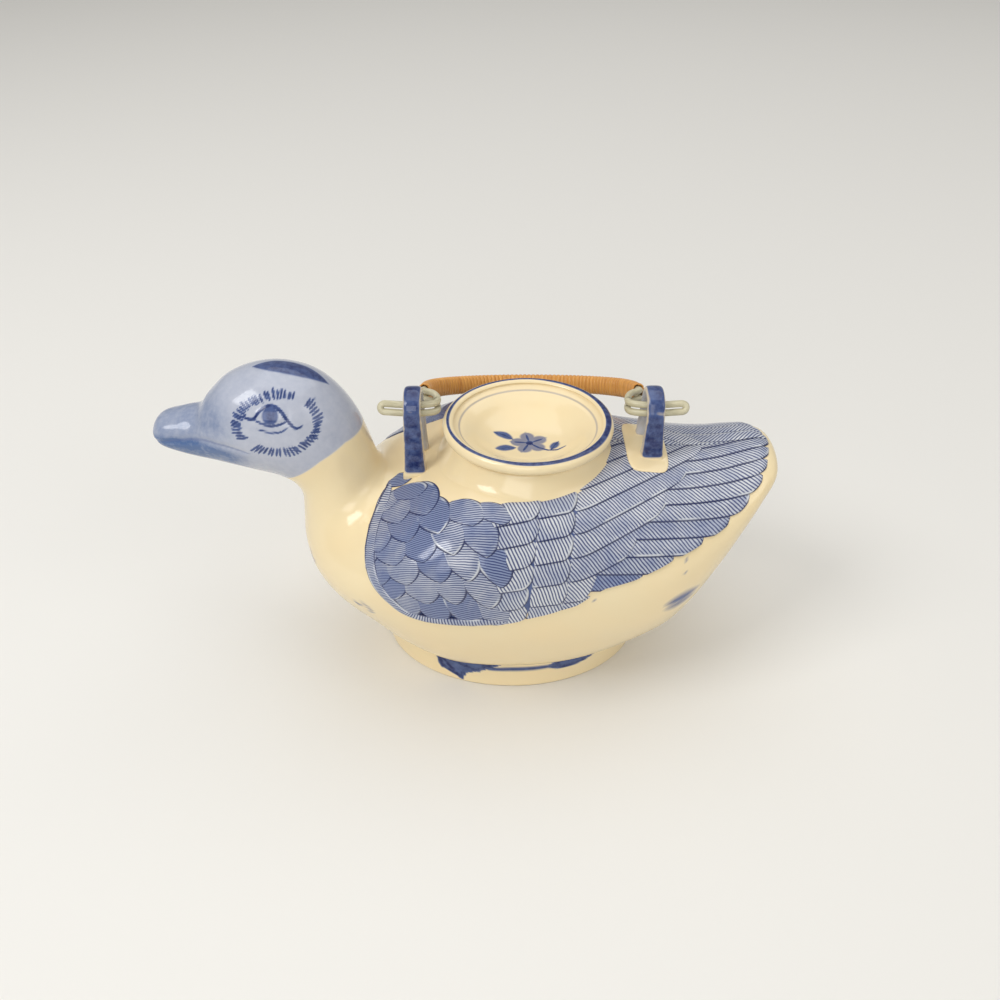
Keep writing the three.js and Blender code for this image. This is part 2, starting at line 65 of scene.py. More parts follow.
# Cross sections of the pot from the bill's tip to the tail's end: back x, back z, belly x, belly z,
# half width of head, half width of body, height of the widest place, fullness above and below it
SECTIONS = [
    [-120.4, 84.4, -120.4, 84.2, 0, 0, 0.5, 2, 2],
    [-119.6, 87.8, -119.6, 81.8, 4.8, 0, 0.5, 2, 2],
    [-116.6, 90.4, -116.6, 79.2, 7.8, 0, 0.5, 2, 2],
    [-109.8, 92.2, -110.5, 76.8, 9.4, 0, 0.5, 2, 2],
    [-104, 93.6, -104.5, 75.2, 10.6, 0, 0.5, 2, 2],
    [-99.8, 98.4, -99.4, 74.2, 12.6, 0, 0.5, 2, 2],
    [-93.2, 104.2, -92.5, 72.8, 15.6, 0, 0.5, 2, 2],
    [-84.5, 107.6, -86, 71.2, 17.6, 0, 0.5, 2, 2],
    [-75, 108.2, -80, 69.4, 18.2, 0, 0.5, 2, 2],
    [-65.2, 105.2, -76.8, 67.6, 18.2, 0, 0.5, 2, 2],
    [-57.6, 98.6, -74.6, 65, 17.4, 0, 0.5, 2, 2],
    [-52, 89.6, -73.6, 61.4, 16.6, 0, 0.5, 2, 2],
    [-48.6, 79, -73.8, 56.6, 14.8, 2, 0.5, 2, 2],
    [-46, 70.6, -74.4, 50.4, 10.6, 8, 0.52, 2, 2],
    [-41.4, 68, -74.6, 43, 4.6, 20, 0.56, 2.05, 2],
    [-33.8, 70.6, -72.6, 34.8, 0, 35.6, 0.6, 2.3, 1.9],
    [-24.5, 74.6, -66.6, 26, 0, 44.6, 0.62, 2.6, 1.85],
    [-14.5, 78, -57, 17.2, 0, 48.6, 0.62, 2.7, 1.9],
    [-4.5, 80, -44, 8.8, 0, 50, 0.6, 2.6, 2],
    [6, 80.6, -27, 2.8, 0, 49.8, 0.58, 2.4, 2.1],
    [17, 80.4, -7, 0, 0, 48.6, 0.57, 2.3, 2.1],
    [28, 79.4, 14, 0.8, 0, 46.8, 0.56, 2.2, 2.1],
    [39, 78.2, 34, 4.8, 0, 44.4, 0.55, 2.1, 2.1],
    [50, 77.2, 51, 12, 0, 40.8, 0.55, 2.05, 2.1],
    [60, 77, 62, 21.8, 0, 36, 0.55, 2, 2.05],
    [69, 77.6, 69.6, 33.6, 0, 30.6, 0.55, 2, 2],
    [76.6, 79, 75.6, 45.8, 0, 25.6, 0.55, 2, 2],
    [83, 80, 81.4, 57.8, 0, 20.2, 0.55, 2, 2],
    [88.2, 78.4, 86.8, 67.8, 0, 13, 0.55, 2, 2],
    [90, 73.6, 89.8, 73.4, 0, 0, 0.55, 2, 2],
]


class Body(enum.Enum):
    """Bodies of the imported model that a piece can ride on."""

    POT = "pot"
    LID = "lid"
    BAIL = "bail"


class Slot(enum.Enum):
    """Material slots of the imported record."""

    GLAZED = "glazed_porcelain"
    LID = "lid_porcelain"
    COBALT = "cobalt_glaze"
    PALE_CANE = "pale_cane"
    HONEY_CANE = "honey_cane"


class Side(enum.Enum):
    """Side of the duck, as the sign of its Y."""

    NEAR = -1
    FAR = 1


def linear(colour: str) -> tuple[float, float, float, float]:
    """Linear colour with full alpha from an sRGB hex value.

    Args:
        colour: Hex value such as "#f3e4bf".

    Returns:
        Red, green, blue and alpha for a socket.
    """
    parts = [int(colour[i : i + 2], 16) / 255 for i in (1, 3, 5)]
    red, green, blue = (p / 12.92 if p <= 0.04045 else ((p + 0.055) / 1.055) ** 2.4 for p in parts)
    return red, green, blue, 1.0


def smoothstep(low: float, high: float, value: Array) -> Array:
    """Soft step from 0 at low to 1 at high."""
    t = np.clip((value - low) / (high - low), 0, 1)
    return t * t * (3 - 2 * t)


def unit(vectors: Array) -> Array:
    """Vectors brought to length 1."""
    return vectors / np.linalg.norm(vectors, axis=1)[:, None]


def travelled(line: Array) -> Array:
    """Length along a line up to each of its points."""
    return np.concatenate([[0], np.cumsum(np.linalg.norm(np.diff(line, axis=0), axis=1))])


def smooth_path(points: Array, count: int) -> Array:
    """Smooth line through points, resampled at even steps.

    Args:
        points: Points to pass through, one row each.
        count: How many points to return.

    Returns:
        Points at even distances along the line.
    """
    points = np.asarray(points, float)
    padded = np.vstack([2 * points[0] - points[1], points, 2 * points[-1] - points[-2]])
    spans = np.linalg.norm(np.diff(padded, axis=0), axis=1) ** 0.5
    t = np.linspace(0, 1, 24, endpoint=False)[:, None]
    line = []
    for i in range(1, len(padded) - 2):
        before, start, end, after = padded[i - 1 : i + 3]
        d0, d1, d2 = spans[i - 1 : i + 2]
        leave = ((start - before) / d0 - (end - before) / (d0 + d1) + (end - start) / d1) * d1
        reach = ((end - start) / d1 - (after - start) / (d1 + d2) + (after - end) / d2) * d1
        cube = 2 * start - 2 * end + leave + reach
        square = -3 * start + 3 * end - 2 * leave - reach
        line.append(start + leave * t + square * t**2 + cube * t**3)
    line = np.vstack([*line, padded[-2]])
    length = travelled(line)
    steps = np.linspace(0, length[-1], count)
    return np.stack([np.interp(steps, length, line[:, k]) for k in range(line.shape[1])], 1)


def stroke(at: Array, path: Array, width: float, soft: float = 0.35, taper: float = 0.5) -> Array:
    """Ink that one brush stroke leaves.

    Args:
        at: Places to ink, one row each.
        path: Corner points of the stroke in the same coordinates.
        width: Width of the stroke at its middle.
        soft: Distance over which its edge fades.
        taper: How fast it narrows to its ends, 0 for not at all.

    Returns:
        Ink at each place, from 0 to 1.
    """
    path = np.asarray(path, float)
    low, high = path.min(0) - width, path.max(0) + width
    near = np.all((at > low) & (at < high), axis=1)
    spot = at[near]
    steps = np.linalg.norm(np.diff(path, axis=0), axis=1)
    done = np.concatenate([[0], np.cumsum(steps)])
    ink = np.zeros(len(spot))
    for i, step in enumerate(steps):
        way = path[i + 1] - path[i]
        share = np.clip((spot - path[i]) @ way / max(step * step, 1e-9), 0, 1)
        gap = np.linalg.norm(spot - path[i] - share[:, None] * way, axis=1)
        t = (done[i] + share * step) / done[-1]
        half = width / 2 * np.maximum(4 * t * (1 - t), 0.02) ** taper
        ink = np.maximum(ink, np.clip((half - gap) / soft + 0.5, 0, 1))
    whole = np.zeros(len(at))
    whole[near] = ink
    return whole


def inside(polygon: Array, at: Array) -> tuple[Array, Array]:
    """Tells places inside a closed outline, and the nearest point of its edge.

    Args:
        polygon: Corners of the outline.
        at: Places to test.

    Returns:
        For each place, whether it lies inside, and the nearest edge point.
    """
    start, end = polygon, np.roll(polygon, -1, axis=0)
    x, y = at[:, 0:1], at[:, 1:2]
    spans = (start[:, 1] > y) != (end[:, 1] > y)
    rise = np.where(end[:, 1] == start[:, 1], 1e-9, end[:, 1] - start[:, 1])
    crossing = start[:, 0] + (y - start[:, 1]) / rise * (end[:, 0] - start[:, 0])
    within = np.sum(spans & (x < crossing), axis=1) % 2 == 1
    way = end - start
    share = np.einsum("nek,ek->ne", at[:, None] - start, way) / np.maximum((way**2).sum(1), 1e-9)
    foot = start + np.clip(share, 0, 1)[..., None] * way
    nearest = np.linalg.norm(at[:, None] - foot, axis=2).argmin(1)
    return within, foot[np.arange(len(at)), nearest]


def new_mesh(*marks: str) -> bmesh.types.BMesh:
    """Empty mesh whose vertices can carry numbers.

    Args:
        *marks: Names of the numbers.

    Returns:
        The new mesh.
    """
    bm = bmesh.new()
    for mark in marks:
        bm.verts.layers.float.new(mark)
    return bm


def put(bm: bmesh.types.BMesh, verts: list[bmesh.types.BMVert], placed: Placed) -> None:
    """Moves new vertices to their places, writes their marks and turns their faces outwards.

    Args:
        bm: Mesh that holds the vertices.
        verts: The new vertices.
        placed: Their points in millimetres, and their marks by name.
    """
    points, marks = placed
    for vert, point in zip(verts, points * MM):
        vert.co = point
    for name, values in marks.items():
        layer = bm.verts.layers.float[name]
        for vert, value in zip(verts, np.broadcast_to(values, len(verts))):
            vert[layer] = value
    faces = list({face for vert in verts for face in vert.link_faces})
    bmesh.ops.recalc_face_normals(bm, faces=faces)
    # The operator makes them agree, but judges outwards by one far vertex, and so turns thin or folded
    # forms inside out. The sign of the volume tells them apart.
    bm.normal_update()
    start = verts[0].co
    volume = sum((face.calc_center_median() - start).dot(face.normal) * face.calc_area() for face in faces)
    if volume < 0:
        bmesh.ops.reverse_faces(bm, faces=faces)


def loft(bm: bmesh.types.BMesh, rings: int, sides: int, place: Callable[[Array, Array], Placed]) -> None:
    """Adds a closed skin: a sphere whose rings are set on a form of their own.

    Args:
        bm: Mesh to add to.
        rings: Steps from the first pole to the last.
        sides: Points of a ring, a multiple of 4, or the sphere's columns lie half a step round.
        place: Gives points and marks from the ring, 0 to 1, and the way round it, 0 to 1.
    """
    verts = bmesh.ops.create_uvsphere(bm, u_segments=sides, v_segments=rings, radius=1)["verts"]
    unit = np.array([vert.co[:] for vert in verts])
    ring = np.rint(np.arccos(np.clip(unit[:, 2], -1, 1)) / math.pi * rings) / rings
    turn = np.rint(np.arctan2(unit[:, 1], unit[:, 0]) / math.tau * sides) % sides / sides
    put(bm, verts, place(ring, turn))


def looped(bm: bmesh.types.BMesh, rings: int, sides: int, place: Callable[[Array, Array], Placed]) -> None:
    """Adds a closed ring: a small circle spun full turn, then set on a form of its own.

    Args:
        bm: Mesh to add to.
        rings: Steps of the full turn.
        sides: Points of the ring's cross section.
        place: Gives points and marks from the turn, 0 to 1, and the way round the section, 0 to 1.
    """
    hub = 3.0
    circle = bmesh.ops.create_circle(bm, segments=sides, radius=1)["verts"]
    upright = Matrix.Rotation(math.pi / 2, 3, "X")
    bmesh.ops.rotate(bm, verts=circle, cent=(0, 0, 0), matrix=upright)
    bmesh.ops.translate(bm, verts=circle, vec=(hub, 0, 0))
    edges = list({edge for vert in circle for edge in vert.link_edges})
    bmesh.ops.spin(
        bm, geom=[*circle, *edges], cent=(0, 0, 0), axis=(0, 0, 1), angle=math.tau, steps=rings,
        use_merge=True,
    )
    verts = list(bm.verts)
    unit = np.array([vert.co[:] for vert in verts])
    turn = np.rint(np.arctan2(unit[:, 1], unit[:, 0]) / math.tau * rings) % rings / rings
    out = np.hypot(unit[:, 0], unit[:, 1]) - hub
    share = np.rint(np.arctan2(unit[:, 2], out) / math.tau * sides) % sides / sides
    put(bm, verts, place(turn, share))


def tube(bm: bmesh.types.BMesh, path: Array, across: Array, size: tuple[float, float], sides: int) -> None:
    """Adds a strand with closed ends, marked with the millimetres along it and across it.

    Args:
        bm: Mesh to add to, with the marks along and around.
        path: Middle line.
        across: Direction of the first half size at each point, or one direction for all.
        size: Half sizes across and square to it.
        sides: Points of a cross section.
    """
    along = unit(np.gradient(path, axis=0))
    wide = np.broadcast_to(across, path.shape)
    wide = unit(wide - np.sum(wide * along, axis=1)[:, None] * along)
    square = np.cross(along, wide)
    length = travelled(path)
    rings = len(path) + 1

    def place(ring: Array, turn: Array) -> Placed:
        """Sets the sphere on the strand, its poles on the ends' middles.

        Args:
            ring: Way along the strand.
            turn: Way round it.

        Returns:
            Points, and the marks along and around.
        """
        step = np.rint(ring * rings).astype(int)
        i = np.clip(step - 1, 0, len(path) - 1)
        open_end = ((step > 0) & (step < rings))[:, None]
        angle = turn * math.tau
        out = wide[i] * (size[0] * np.cos(angle))[:, None] + square[i] * (size[1] * np.sin(angle))[:, None]
        return path[i] + out * open_end, {"along": length[i], "around": size[0] * np.cos(angle)}

    loft(bm, rings, sides, place)


def node(
    tree: bpy.types.NodeTree, kind: str, inputs: dict | None = None, stops: list | None = None, **settings
) -> bpy.types.Node:
    """Adds a node with its settings and links.

    Args:
        tree: Node tree to add to.
        kind: Type of the node.
        inputs: Value or output socket for each named or numbered input.
        stops: Position and colour of each stop, for a colour ramp.
        **settings: Properties of the node.

    Returns:
        The new node.
    """
    made = tree.nodes.new(kind)
    for name, value in settings.items():
        setattr(made, name, value)
    for name, value in (inputs or {}).items():
        if isinstance(value, bpy.types.NodeSocket):
            tree.links.new(value, made.inputs[name])
        else:
            made.inputs[name].default_value = value
    for i, (position, colour) in enumerate(stops or []):
        stop = made.color_ramp.elements[i] if i < 2 else made.color_ramp.elements.new(position)
        stop.position = position
        stop.color = colour
    return made


def empty_material(name: str) -> tuple[bpy.types.Material, bpy.types.NodeTree]:
    """Makes a material without nodes.

    Args:
        name: The real material and how its surface was made.

    Returns:
        The material and its empty node tree.
    """
    material = bpy.data.materials.new(name)
    material.use_nodes = True
    material.node_tree.nodes.clear()
    return material, material.node_tree


@dataclass(frozen=True)
class PaintedPorcelain:
    """Fired porcelain, brushed with cobalt and dipped in a clear glaze.

    The glaze is glossy and pools a little, so the cream body shows soft clouds of tone, the cobalt
    bleeds at its edges and the highlights waver slightly.
    """

    name: str = "porcelain, cobalt brushed, clear glazed"
    body: str = "#f1d8a8"
    body_cool: str = "#ebdcb6"
    wash_pale: str = "#d0d1d8"
    wash_deep: str = "#506a96"
    ink_thin: str = "#5b6e9c"
    ink_deep: str = "#16245a"
    roughness: float = 0.13
    cloud_mm: float = 28.0
    brush_mm: float = 2.4
    peel_mm: float = 1.6
    peel_depth_mm: float = 0.012

    def material(self) -> bpy.types.Material:
        """Builds the material.

        Returns:
            The material, read by the marks wash and ink.
        """
        made, tree = empty_material(self.name)
        place = node(tree, "ShaderNodeTexCoord").outputs["Object"]
        cloud_size = {"Vector": place, "Scale": 1 / (self.cloud_mm * MM), "Detail": 3.0}
        cloud = node(tree, "ShaderNodeTexNoise", cloud_size).outputs["Fac"]
        brush_size = {"Vector": place, "Scale": 1 / (self.brush_mm * MM), "Detail": 4.0, "Roughness": 0.62}
        brush = node(tree, "ShaderNodeTexNoise", brush_size).outputs["Fac"]
        clays = {0: cloud, 6: linear(self.body), 7: linear(self.body_cool)}
        clay = node(tree, "ShaderNodeMix", clays, data_type="RGBA").outputs[2]
        wash = node(tree, "ShaderNodeAttribute", attribute_name="wash").outputs["Fac"]
        streak = node(tree, "ShaderNodeMapRange", {0: brush, 1: 0.3, 2: 0.7, 3: 0.82, 4: 1.16}).outputs[0]
        times = {"operation": "MULTIPLY", "use_clamp": True}
        washed = node(tree, "ShaderNodeMath", {0: wash, 1: streak}, **times).outputs[0]
        blues = {0: washed, 6: linear(self.wash_pale), 7: linear(self.wash_deep)}
        blue = node(tree, "ShaderNodeMix", blues, data_type="RGBA").outputs[2]
        cover = node(tree, "ShaderNodeMapRange", {0: wash, 1: 0.0, 2: 0.3}).outputs[0]
        ground = node(tree, "ShaderNodeMix", {0: cover, 6: clay, 7: blue}, data_type="RGBA").outputs[2]
        ink = node(tree, "ShaderNodeAttribute", attribute_name="ink").outputs["Fac"]
        worn = node(tree, "ShaderNodeMapRange", {0: brush, 1: 0.36, 2: 0.62, 3: 0.55, 4: 1.15}).outputs[0]
        thick = node(tree, "ShaderNodeMath", {0: ink, 1: worn}, **times).outputs[0]
        inks = {0: thick, 6: linear(self.ink_thin), 7: linear(self.ink_deep)}
        cobalt = node(tree, "ShaderNodeMix", inks, data_type="RGBA").outputs[2]
        covered = node(tree, "ShaderNodeMapRange", {0: ink, 1: 0.02, 2: 0.42}).outputs[0]
        colour = node(tree, "ShaderNodeMix", {0: covered, 6: ground, 7: cobalt}, data_type="RGBA").outputs[2]
        peel_size = {"Vector": place, "Scale": 1 / (self.peel_mm * MM), "Detail": 2.0}
        peel = node(tree, "ShaderNodeTexNoise", peel_size).outputs["Fac"]
        waver = {"Height": peel, "Distance": self.peel_depth_mm * MM, "Strength": 1.0}
        bump = node(tree, "ShaderNodeBump", waver).outputs[0]
        glaze = {"Base Color": colour, "Roughness": self.roughness, "IOR": GLAZE_IOR, "Normal": bump}
        surface = node(tree, "ShaderNodeBsdfPrincipled", glaze)
        node(tree, "ShaderNodeOutputMaterial", {"Surface": surface.outputs[0]})
        return made


@dataclass(frozen=True)
class HatchedFeathers:
    """Porcelain feathers in low relief, each hatched with a fine cobalt line and glazed.

    The glaze runs thin on the raised edges, and these are painted pale beside the dark outline, partly for
    the thin glaze and partly as a painted highlight, and the blue between the lines varies from feather to
    feather.
    """

    name: str = "porcelain, cobalt hatched, clear glazed"
    ground: str = "#cdd0d4"
    wash: str = "#6f7fa6"
    line: str = "#2b376a"
    outline: str = "#1b2552"
    roughness: float = 0.15
    wander_mm: float = 5.0
    blot_mm: float = 6.0
    run_mm: float = 11.0
    edge_mm: float = 0.6
    pale_edge_mm: float = 1.2

    def material(self) -> bpy.types.Material:
        """Builds the material.

        Returns:
            The material, read by the marks hatch, rim and tone.
        """
        made, tree = empty_material(self.name)
        place = node(tree, "ShaderNodeTexCoord").outputs["Object"]
        hatch, rim, tone = (
            node(tree, "ShaderNodeAttribute", attribute_name=mark).outputs["Fac"]
            for mark in ("hatch", "rim", "tone")
        )
        wander_size = {"Vector": place, "Scale": 1 / (self.wander_mm * MM), "Detail": 2.0}
        wander = node(tree, "ShaderNodeTexNoise", wander_size).outputs["Fac"]
        sway = {0: wander, 1: 0.9, 2: hatch}
        swayed = node(tree, "ShaderNodeMath", sway, operation="MULTIPLY_ADD").outputs[0]
        turned = node(tree, "ShaderNodeMath", {0: swayed, 1: math.tau}, operation="MULTIPLY").outputs[0]
        wave = node(tree, "ShaderNodeMath", {0: turned}, operation="SINE").outputs[0]
        blot_size = {"Vector": place, "Scale": 1 / (self.blot_mm * MM), "Detail": 3.0, "Roughness": 0.6}
        blot = node(tree, "ShaderNodeTexNoise", blot_size).outputs["Fac"]
        deep = node(tree, "ShaderNodeMath", {0: blot, 1: 1.3, 2: tone}, operation="MULTIPLY_ADD").outputs[0]
        soaked = node(tree, "ShaderNodeMapRange", {0: deep, 1: 0.6, 2: 1.5, 3: 0.0, 4: 0.86}).outputs[0]
        run_size = {"Vector": place, "Scale": 1 / (self.run_mm * MM), "Detail": 1.0}
        run = node(tree, "ShaderNodeTexNoise", run_size).outputs["Fac"]
        filled = node(tree, "ShaderNodeMapRange", {0: run, 1: 0.52, 2: 0.6, 3: 1.0, 4: 0.08}).outputs[0]
        # Raised edges are painted pale in patches: thin glaze and painted highlight together
        bare = {0: rim, 1: self.edge_mm + 0.2, 2: self.pale_edge_mm, 3: filled, 4: 1.0}
        thin_glaze_and_highlight = node(tree, "ShaderNodeMapRange", bare).outputs[0]
        washed = node(tree, "ShaderNodeMath", {0: soaked, 1: thin_glaze_and_highlight}, operation="MULTIPLY").outputs[0]
        grounds = {0: washed, 6: linear(self.ground), 7: linear(self.wash)}
        ground = node(tree, "ShaderNodeMix", grounds, data_type="RGBA").outputs[2]
        line = node(tree, "ShaderNodeMapRange", {0: wave, 1: -0.25, 2: 0.55, 3: 0.0, 4: 0.92}).outputs[0]
        hatched = node(tree, "ShaderNodeMath", {0: line, 1: thin_glaze_and_highlight}, operation="MULTIPLY").outputs[0]
        lines = {0: hatched, 6: ground, 7: linear(self.line)}
        inked = node(tree, "ShaderNodeMix", lines, data_type="RGBA").outputs[2]
        fading = {0: rim, 1: self.edge_mm - 0.2, 2: self.edge_mm + 0.1, 3: 0.92, 4: 0.0}
        edge = node(tree, "ShaderNodeMapRange", fading).outputs[0]
        edges = {0: edge, 6: inked, 7: linear(self.outline)}
        colour = node(tree, "ShaderNodeMix", edges, data_type="RGBA").outputs[2]
        glaze = {"Base Color": colour, "Roughness": self.roughness, "IOR": GLAZE_IOR}
        surface = node(tree, "ShaderNodeBsdfPrincipled", glaze)
        node(tree, "ShaderNodeOutputMaterial", {"Surface": surface.outputs[0]})
        return made


@dataclass(frozen=True)
class Cane:
    """Split cane, scraped smooth and left raw or stained honey.

    Its skin is satin, with long fibres that run with the strand and paler patches along it. Real
    fibres are finer, and are drawn this coarse because they show no other way in the render.
    """

    name: str
    pale: str
    deep: str
    fibre_mm: float = 0.575
    streak_mm: float = 9.0
    fibre_depth_mm: float = 0.05
    roughness: float = 0.48

    def material(self) -> bpy.types.Material:
        """Builds the material.

        Returns:
            The material, read by the marks along and around, so its fibres follow the strand.
        """
        made, tree = empty_material(self.name)
        along = node(tree, "ShaderNodeAttribute", attribute_name="along").outputs["Fac"]
        around = node(tree, "ShaderNodeAttribute", attribute_name="around").outputs["Fac"]
        run = node(tree, "ShaderNodeMath", {0: along, 1: self.streak_mm}, operation="DIVIDE").outputs[0]
        lie = node(tree, "ShaderNodeMath", {0: around, 1: self.fibre_mm}, operation="DIVIDE").outputs[0]
        place = node(tree, "ShaderNodeCombineXYZ", {0: run, 1: lie}).outputs[0]
        fibre_size = {"Vector": place, "Scale": 1.0, "Detail": 5.0, "Roughness": 0.65}
        fibres = node(tree, "ShaderNodeTexNoise", fibre_size).outputs["Fac"]
        stops = [(0.3, linear(self.deep)), (0.68, linear(self.pale))]
        tone = node(tree, "ShaderNodeValToRGB", {0: fibres}, stops).outputs[0]
        ridges = {"Height": fibres, "Distance": self.fibre_depth_mm * MM, "Strength": 0.8}
        bump = node(tree, "ShaderNodeBump", ridges).outputs[0]
        skin = {"Base Color": tone, "Roughness": self.roughness, "Coat Weight": 0.15, "Normal": bump}
        surface = node(tree, "ShaderNodeBsdfPrincipled", skin)
        node(tree, "ShaderNodeOutputMaterial", {"Surface": surface.outputs[0]})
        return made


def as_object(bm: bmesh.types.BMesh, name: str) -> bpy.types.Object:
    """Turns a mesh into an object of the scene.

    Args:
        bm: The finished mesh, which is freed.
        name: Name of the object.

    Returns:
        The new object.
    """
    mesh = bpy.data.meshes.new(name)
    bm.to_mesh(mesh)
    bm.free()
    made = bpy.data.objects.new(name, mesh)
    bpy.context.scene.collection.objects.link(made)
    return made


def finished(
    bm: bmesh.types.BMesh,
    name: str,
    material: bpy.types.Material,
    body: Body,
    slot: Slot,
    replaced: tuple[str, ...] = (),
    sharp: float = 50.0,
) -> bpy.types.Object:
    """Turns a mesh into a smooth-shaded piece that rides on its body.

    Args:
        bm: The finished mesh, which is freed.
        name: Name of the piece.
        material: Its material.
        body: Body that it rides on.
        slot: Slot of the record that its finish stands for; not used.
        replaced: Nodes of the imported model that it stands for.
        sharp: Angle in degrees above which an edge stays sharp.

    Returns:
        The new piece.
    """
    for face in bm.faces:
        face.smooth = True
    for edge in bm.edges:
        edge.smooth = not edge.is_manifold or edge.calc_face_angle(0) < math.radians(sharp)
    made = as_object(bm, name)
    made.data.materials.append(material)
    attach(made, body.value)
    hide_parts(*replaced)
    log.info("%s: %d faces, rides on %s", name, len(made.data.polygons), body.value)
    return made


@dataclass
class PotSkin:
    """Outer skin of the pot, from a place along it and an angle from the back's middle line."""

    length: float = 210.4
    width: float = 100.0
    height: float = 108.2
    head_width: float = 36.4
    clearance: float = 5.0
    lid_set_back: float = 5.0
    overhang: float = 4.0
    overhang_angle: float = 141.0
    overhang_spread: float = 16.0
    chart_steps: int = 12
    chart_angles: int = 145
    rows: Array = field(init=False, repr=False)
    origin: Array = field(init=False, repr=False)
    chart: dict[str, Array] = field(init=False, repr=False)

    def __post_init__(self) -> None:
        """Scales the sections, finds the drawing's origin in the frame and charts the skin."""
        wanted = [self.length, self.height, self.length, self.height, self.head_width, self.width, 1, 1, 1]
        rows = np.array(SECTIONS) * np.array(wanted) / np.array(DRAWN_SIZE)
        rows[:, [1, 3]] += self.clearance
        self.rows = np.vstack([2 * rows[0] - rows[1], rows, 2 * rows[-1] - rows[-2]])
        low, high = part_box("lid")
        middle = (np.array(low) + np.array(high)) / 2 / MM
        self.origin = np.array([middle[0] - self.lid_set_back, middle[1], 0.0])
        place = np.linspace(0, self.last, self.chart_steps * self.last + 1)
        angle = np.linspace(0, math.pi, self.chart_angles)
        points = self.points(place[:, None], angle[None, :])
        steps = np.linalg.norm(np.diff(points, axis=1), axis=2)
        girth = np.concatenate([np.zeros((len(place), 1)), np.cumsum(steps, axis=1)], 1)
        self.chart = {
            "place": place,
            "angle": angle,
            "x": points[..., 0],
            "y": points[..., 1] - self.origin[1],
            "girth": girth,
        }

    @property
    def last(self) -> int:
        """Number of the last section."""
        return len(SECTIONS) - 1

    def sections(self, place: Array) -> Array:
        """Smooth interpolation of the sections.

        Args:
            place: Places from 0 to the last section.

        Returns:
            A section's nine numbers for each place.
        """
        index = np.clip(np.floor(place).astype(int), 0, self.last - 1)
        t = (place - index)[..., None]
        before, start, end, after = (self.rows[index + k] for k in range(4))
        curve = 2 * start + (end - before) * t + (2 * before - 5 * start + 4 * end - after) * t**2
        return 0.5 * (curve + (3 * start - before - 3 * end + after) * t**3)

    def points(self, place: Array, angle: Array, growth: Array = 0.0, narrowing: Array = 1.0) -> Array:
        """Points of the skin or of one that lies outside it.

        Args:
            place: Place along the pot.
            angle: Way round from the back's middle line; positive is the far side.
            growth: Distance outside the skin.
            narrowing: Share of the section's size.

        Returns:
            Points in the frame, in millimetres.
        """
        place, angle, growth, narrowing = np.broadcast_arrays(place, angle, growth, narrowing)
        cells = np.moveaxis(self.sections(place), -1, 0)
        back_x, back_z, belly_x, belly_z, head_half, body_half, widest, above, below = cells
        half = np.maximum(head_half + body_half, 0)
        rise, side = np.cos(angle), np.sin(angle)
        off = (np.degrees(np.abs(angle)) - self.overhang_angle) / self.overhang_spread
        # The belly swells over the foot between sections 17 and 25, most at 20.5
        over_foot = smoothstep(17.0, 19.5, place) * smoothstep(25.0, 23.2, place)
        over_foot = over_foot * (1 + 0.3 * np.exp(-(((place - 20.5) / 1.5) ** 2)))
        over_foot = over_foot * (1 - 0.5 * smoothstep(21.0, 23.0, place))
        growth = growth + self.overhang * np.exp(-(off**2)) * over_foot
        fullness = np.where(rise >= 0, above, below)
        reach = (np.abs(rise) ** fullness + np.abs(side) ** fullness) ** (-1 / fullness)
        height = np.hypot(back_x - belly_x, back_z - belly_z)
        up_x, up_z = (back_x - belly_x) / height, (back_z - belly_z) / height
        middle = height * widest
        length = np.where(rise >= 0, height - middle, middle) + growth
        up = middle + rise * reach * length * narrowing
        across = side * reach * (half + growth) * narrowing
        return np.stack([belly_x + up_x * up, across, belly_z + up_z * up], -1) + self.origin

    def sampled(self, grid: Array, row: Array, column: Array) -> Array:
        """Value of a charted grid between its points.

        Args:
            grid: One of the chart's grids, or its slope.
            row: Fractional rows.
            column: Fractional columns.

        Returns:
            The value at each row and column.
        """
        i = np.clip(row.astype(int), 0, grid.shape[0] - 2)
        j = np.clip(column.astype(int), 0, grid.shape[1] - 2)
        a, b = row - i, column - j
        first = grid[i, j] * (1 - a) + grid[i + 1, j] * a
        second = grid[i, j + 1] * (1 - a) + grid[i + 1, j + 1] * a
        return first * (1 - b) + second * b

    def located(self, names: tuple[str, str], wanted: tuple[Array, Array], lower: bool = False) -> Placed:
        """Finds where two charted values are reached together.

        Args:
            names: Names of the two charted values.
            wanted: Their wanted values.
            lower: Whether to look on the pot's underside only.

        Returns:
            Place along the pot, and way round it.
        """
        first, second = (self.chart[name] for name in names)
        slopes = [np.gradient(grid) for grid in (first, second)]
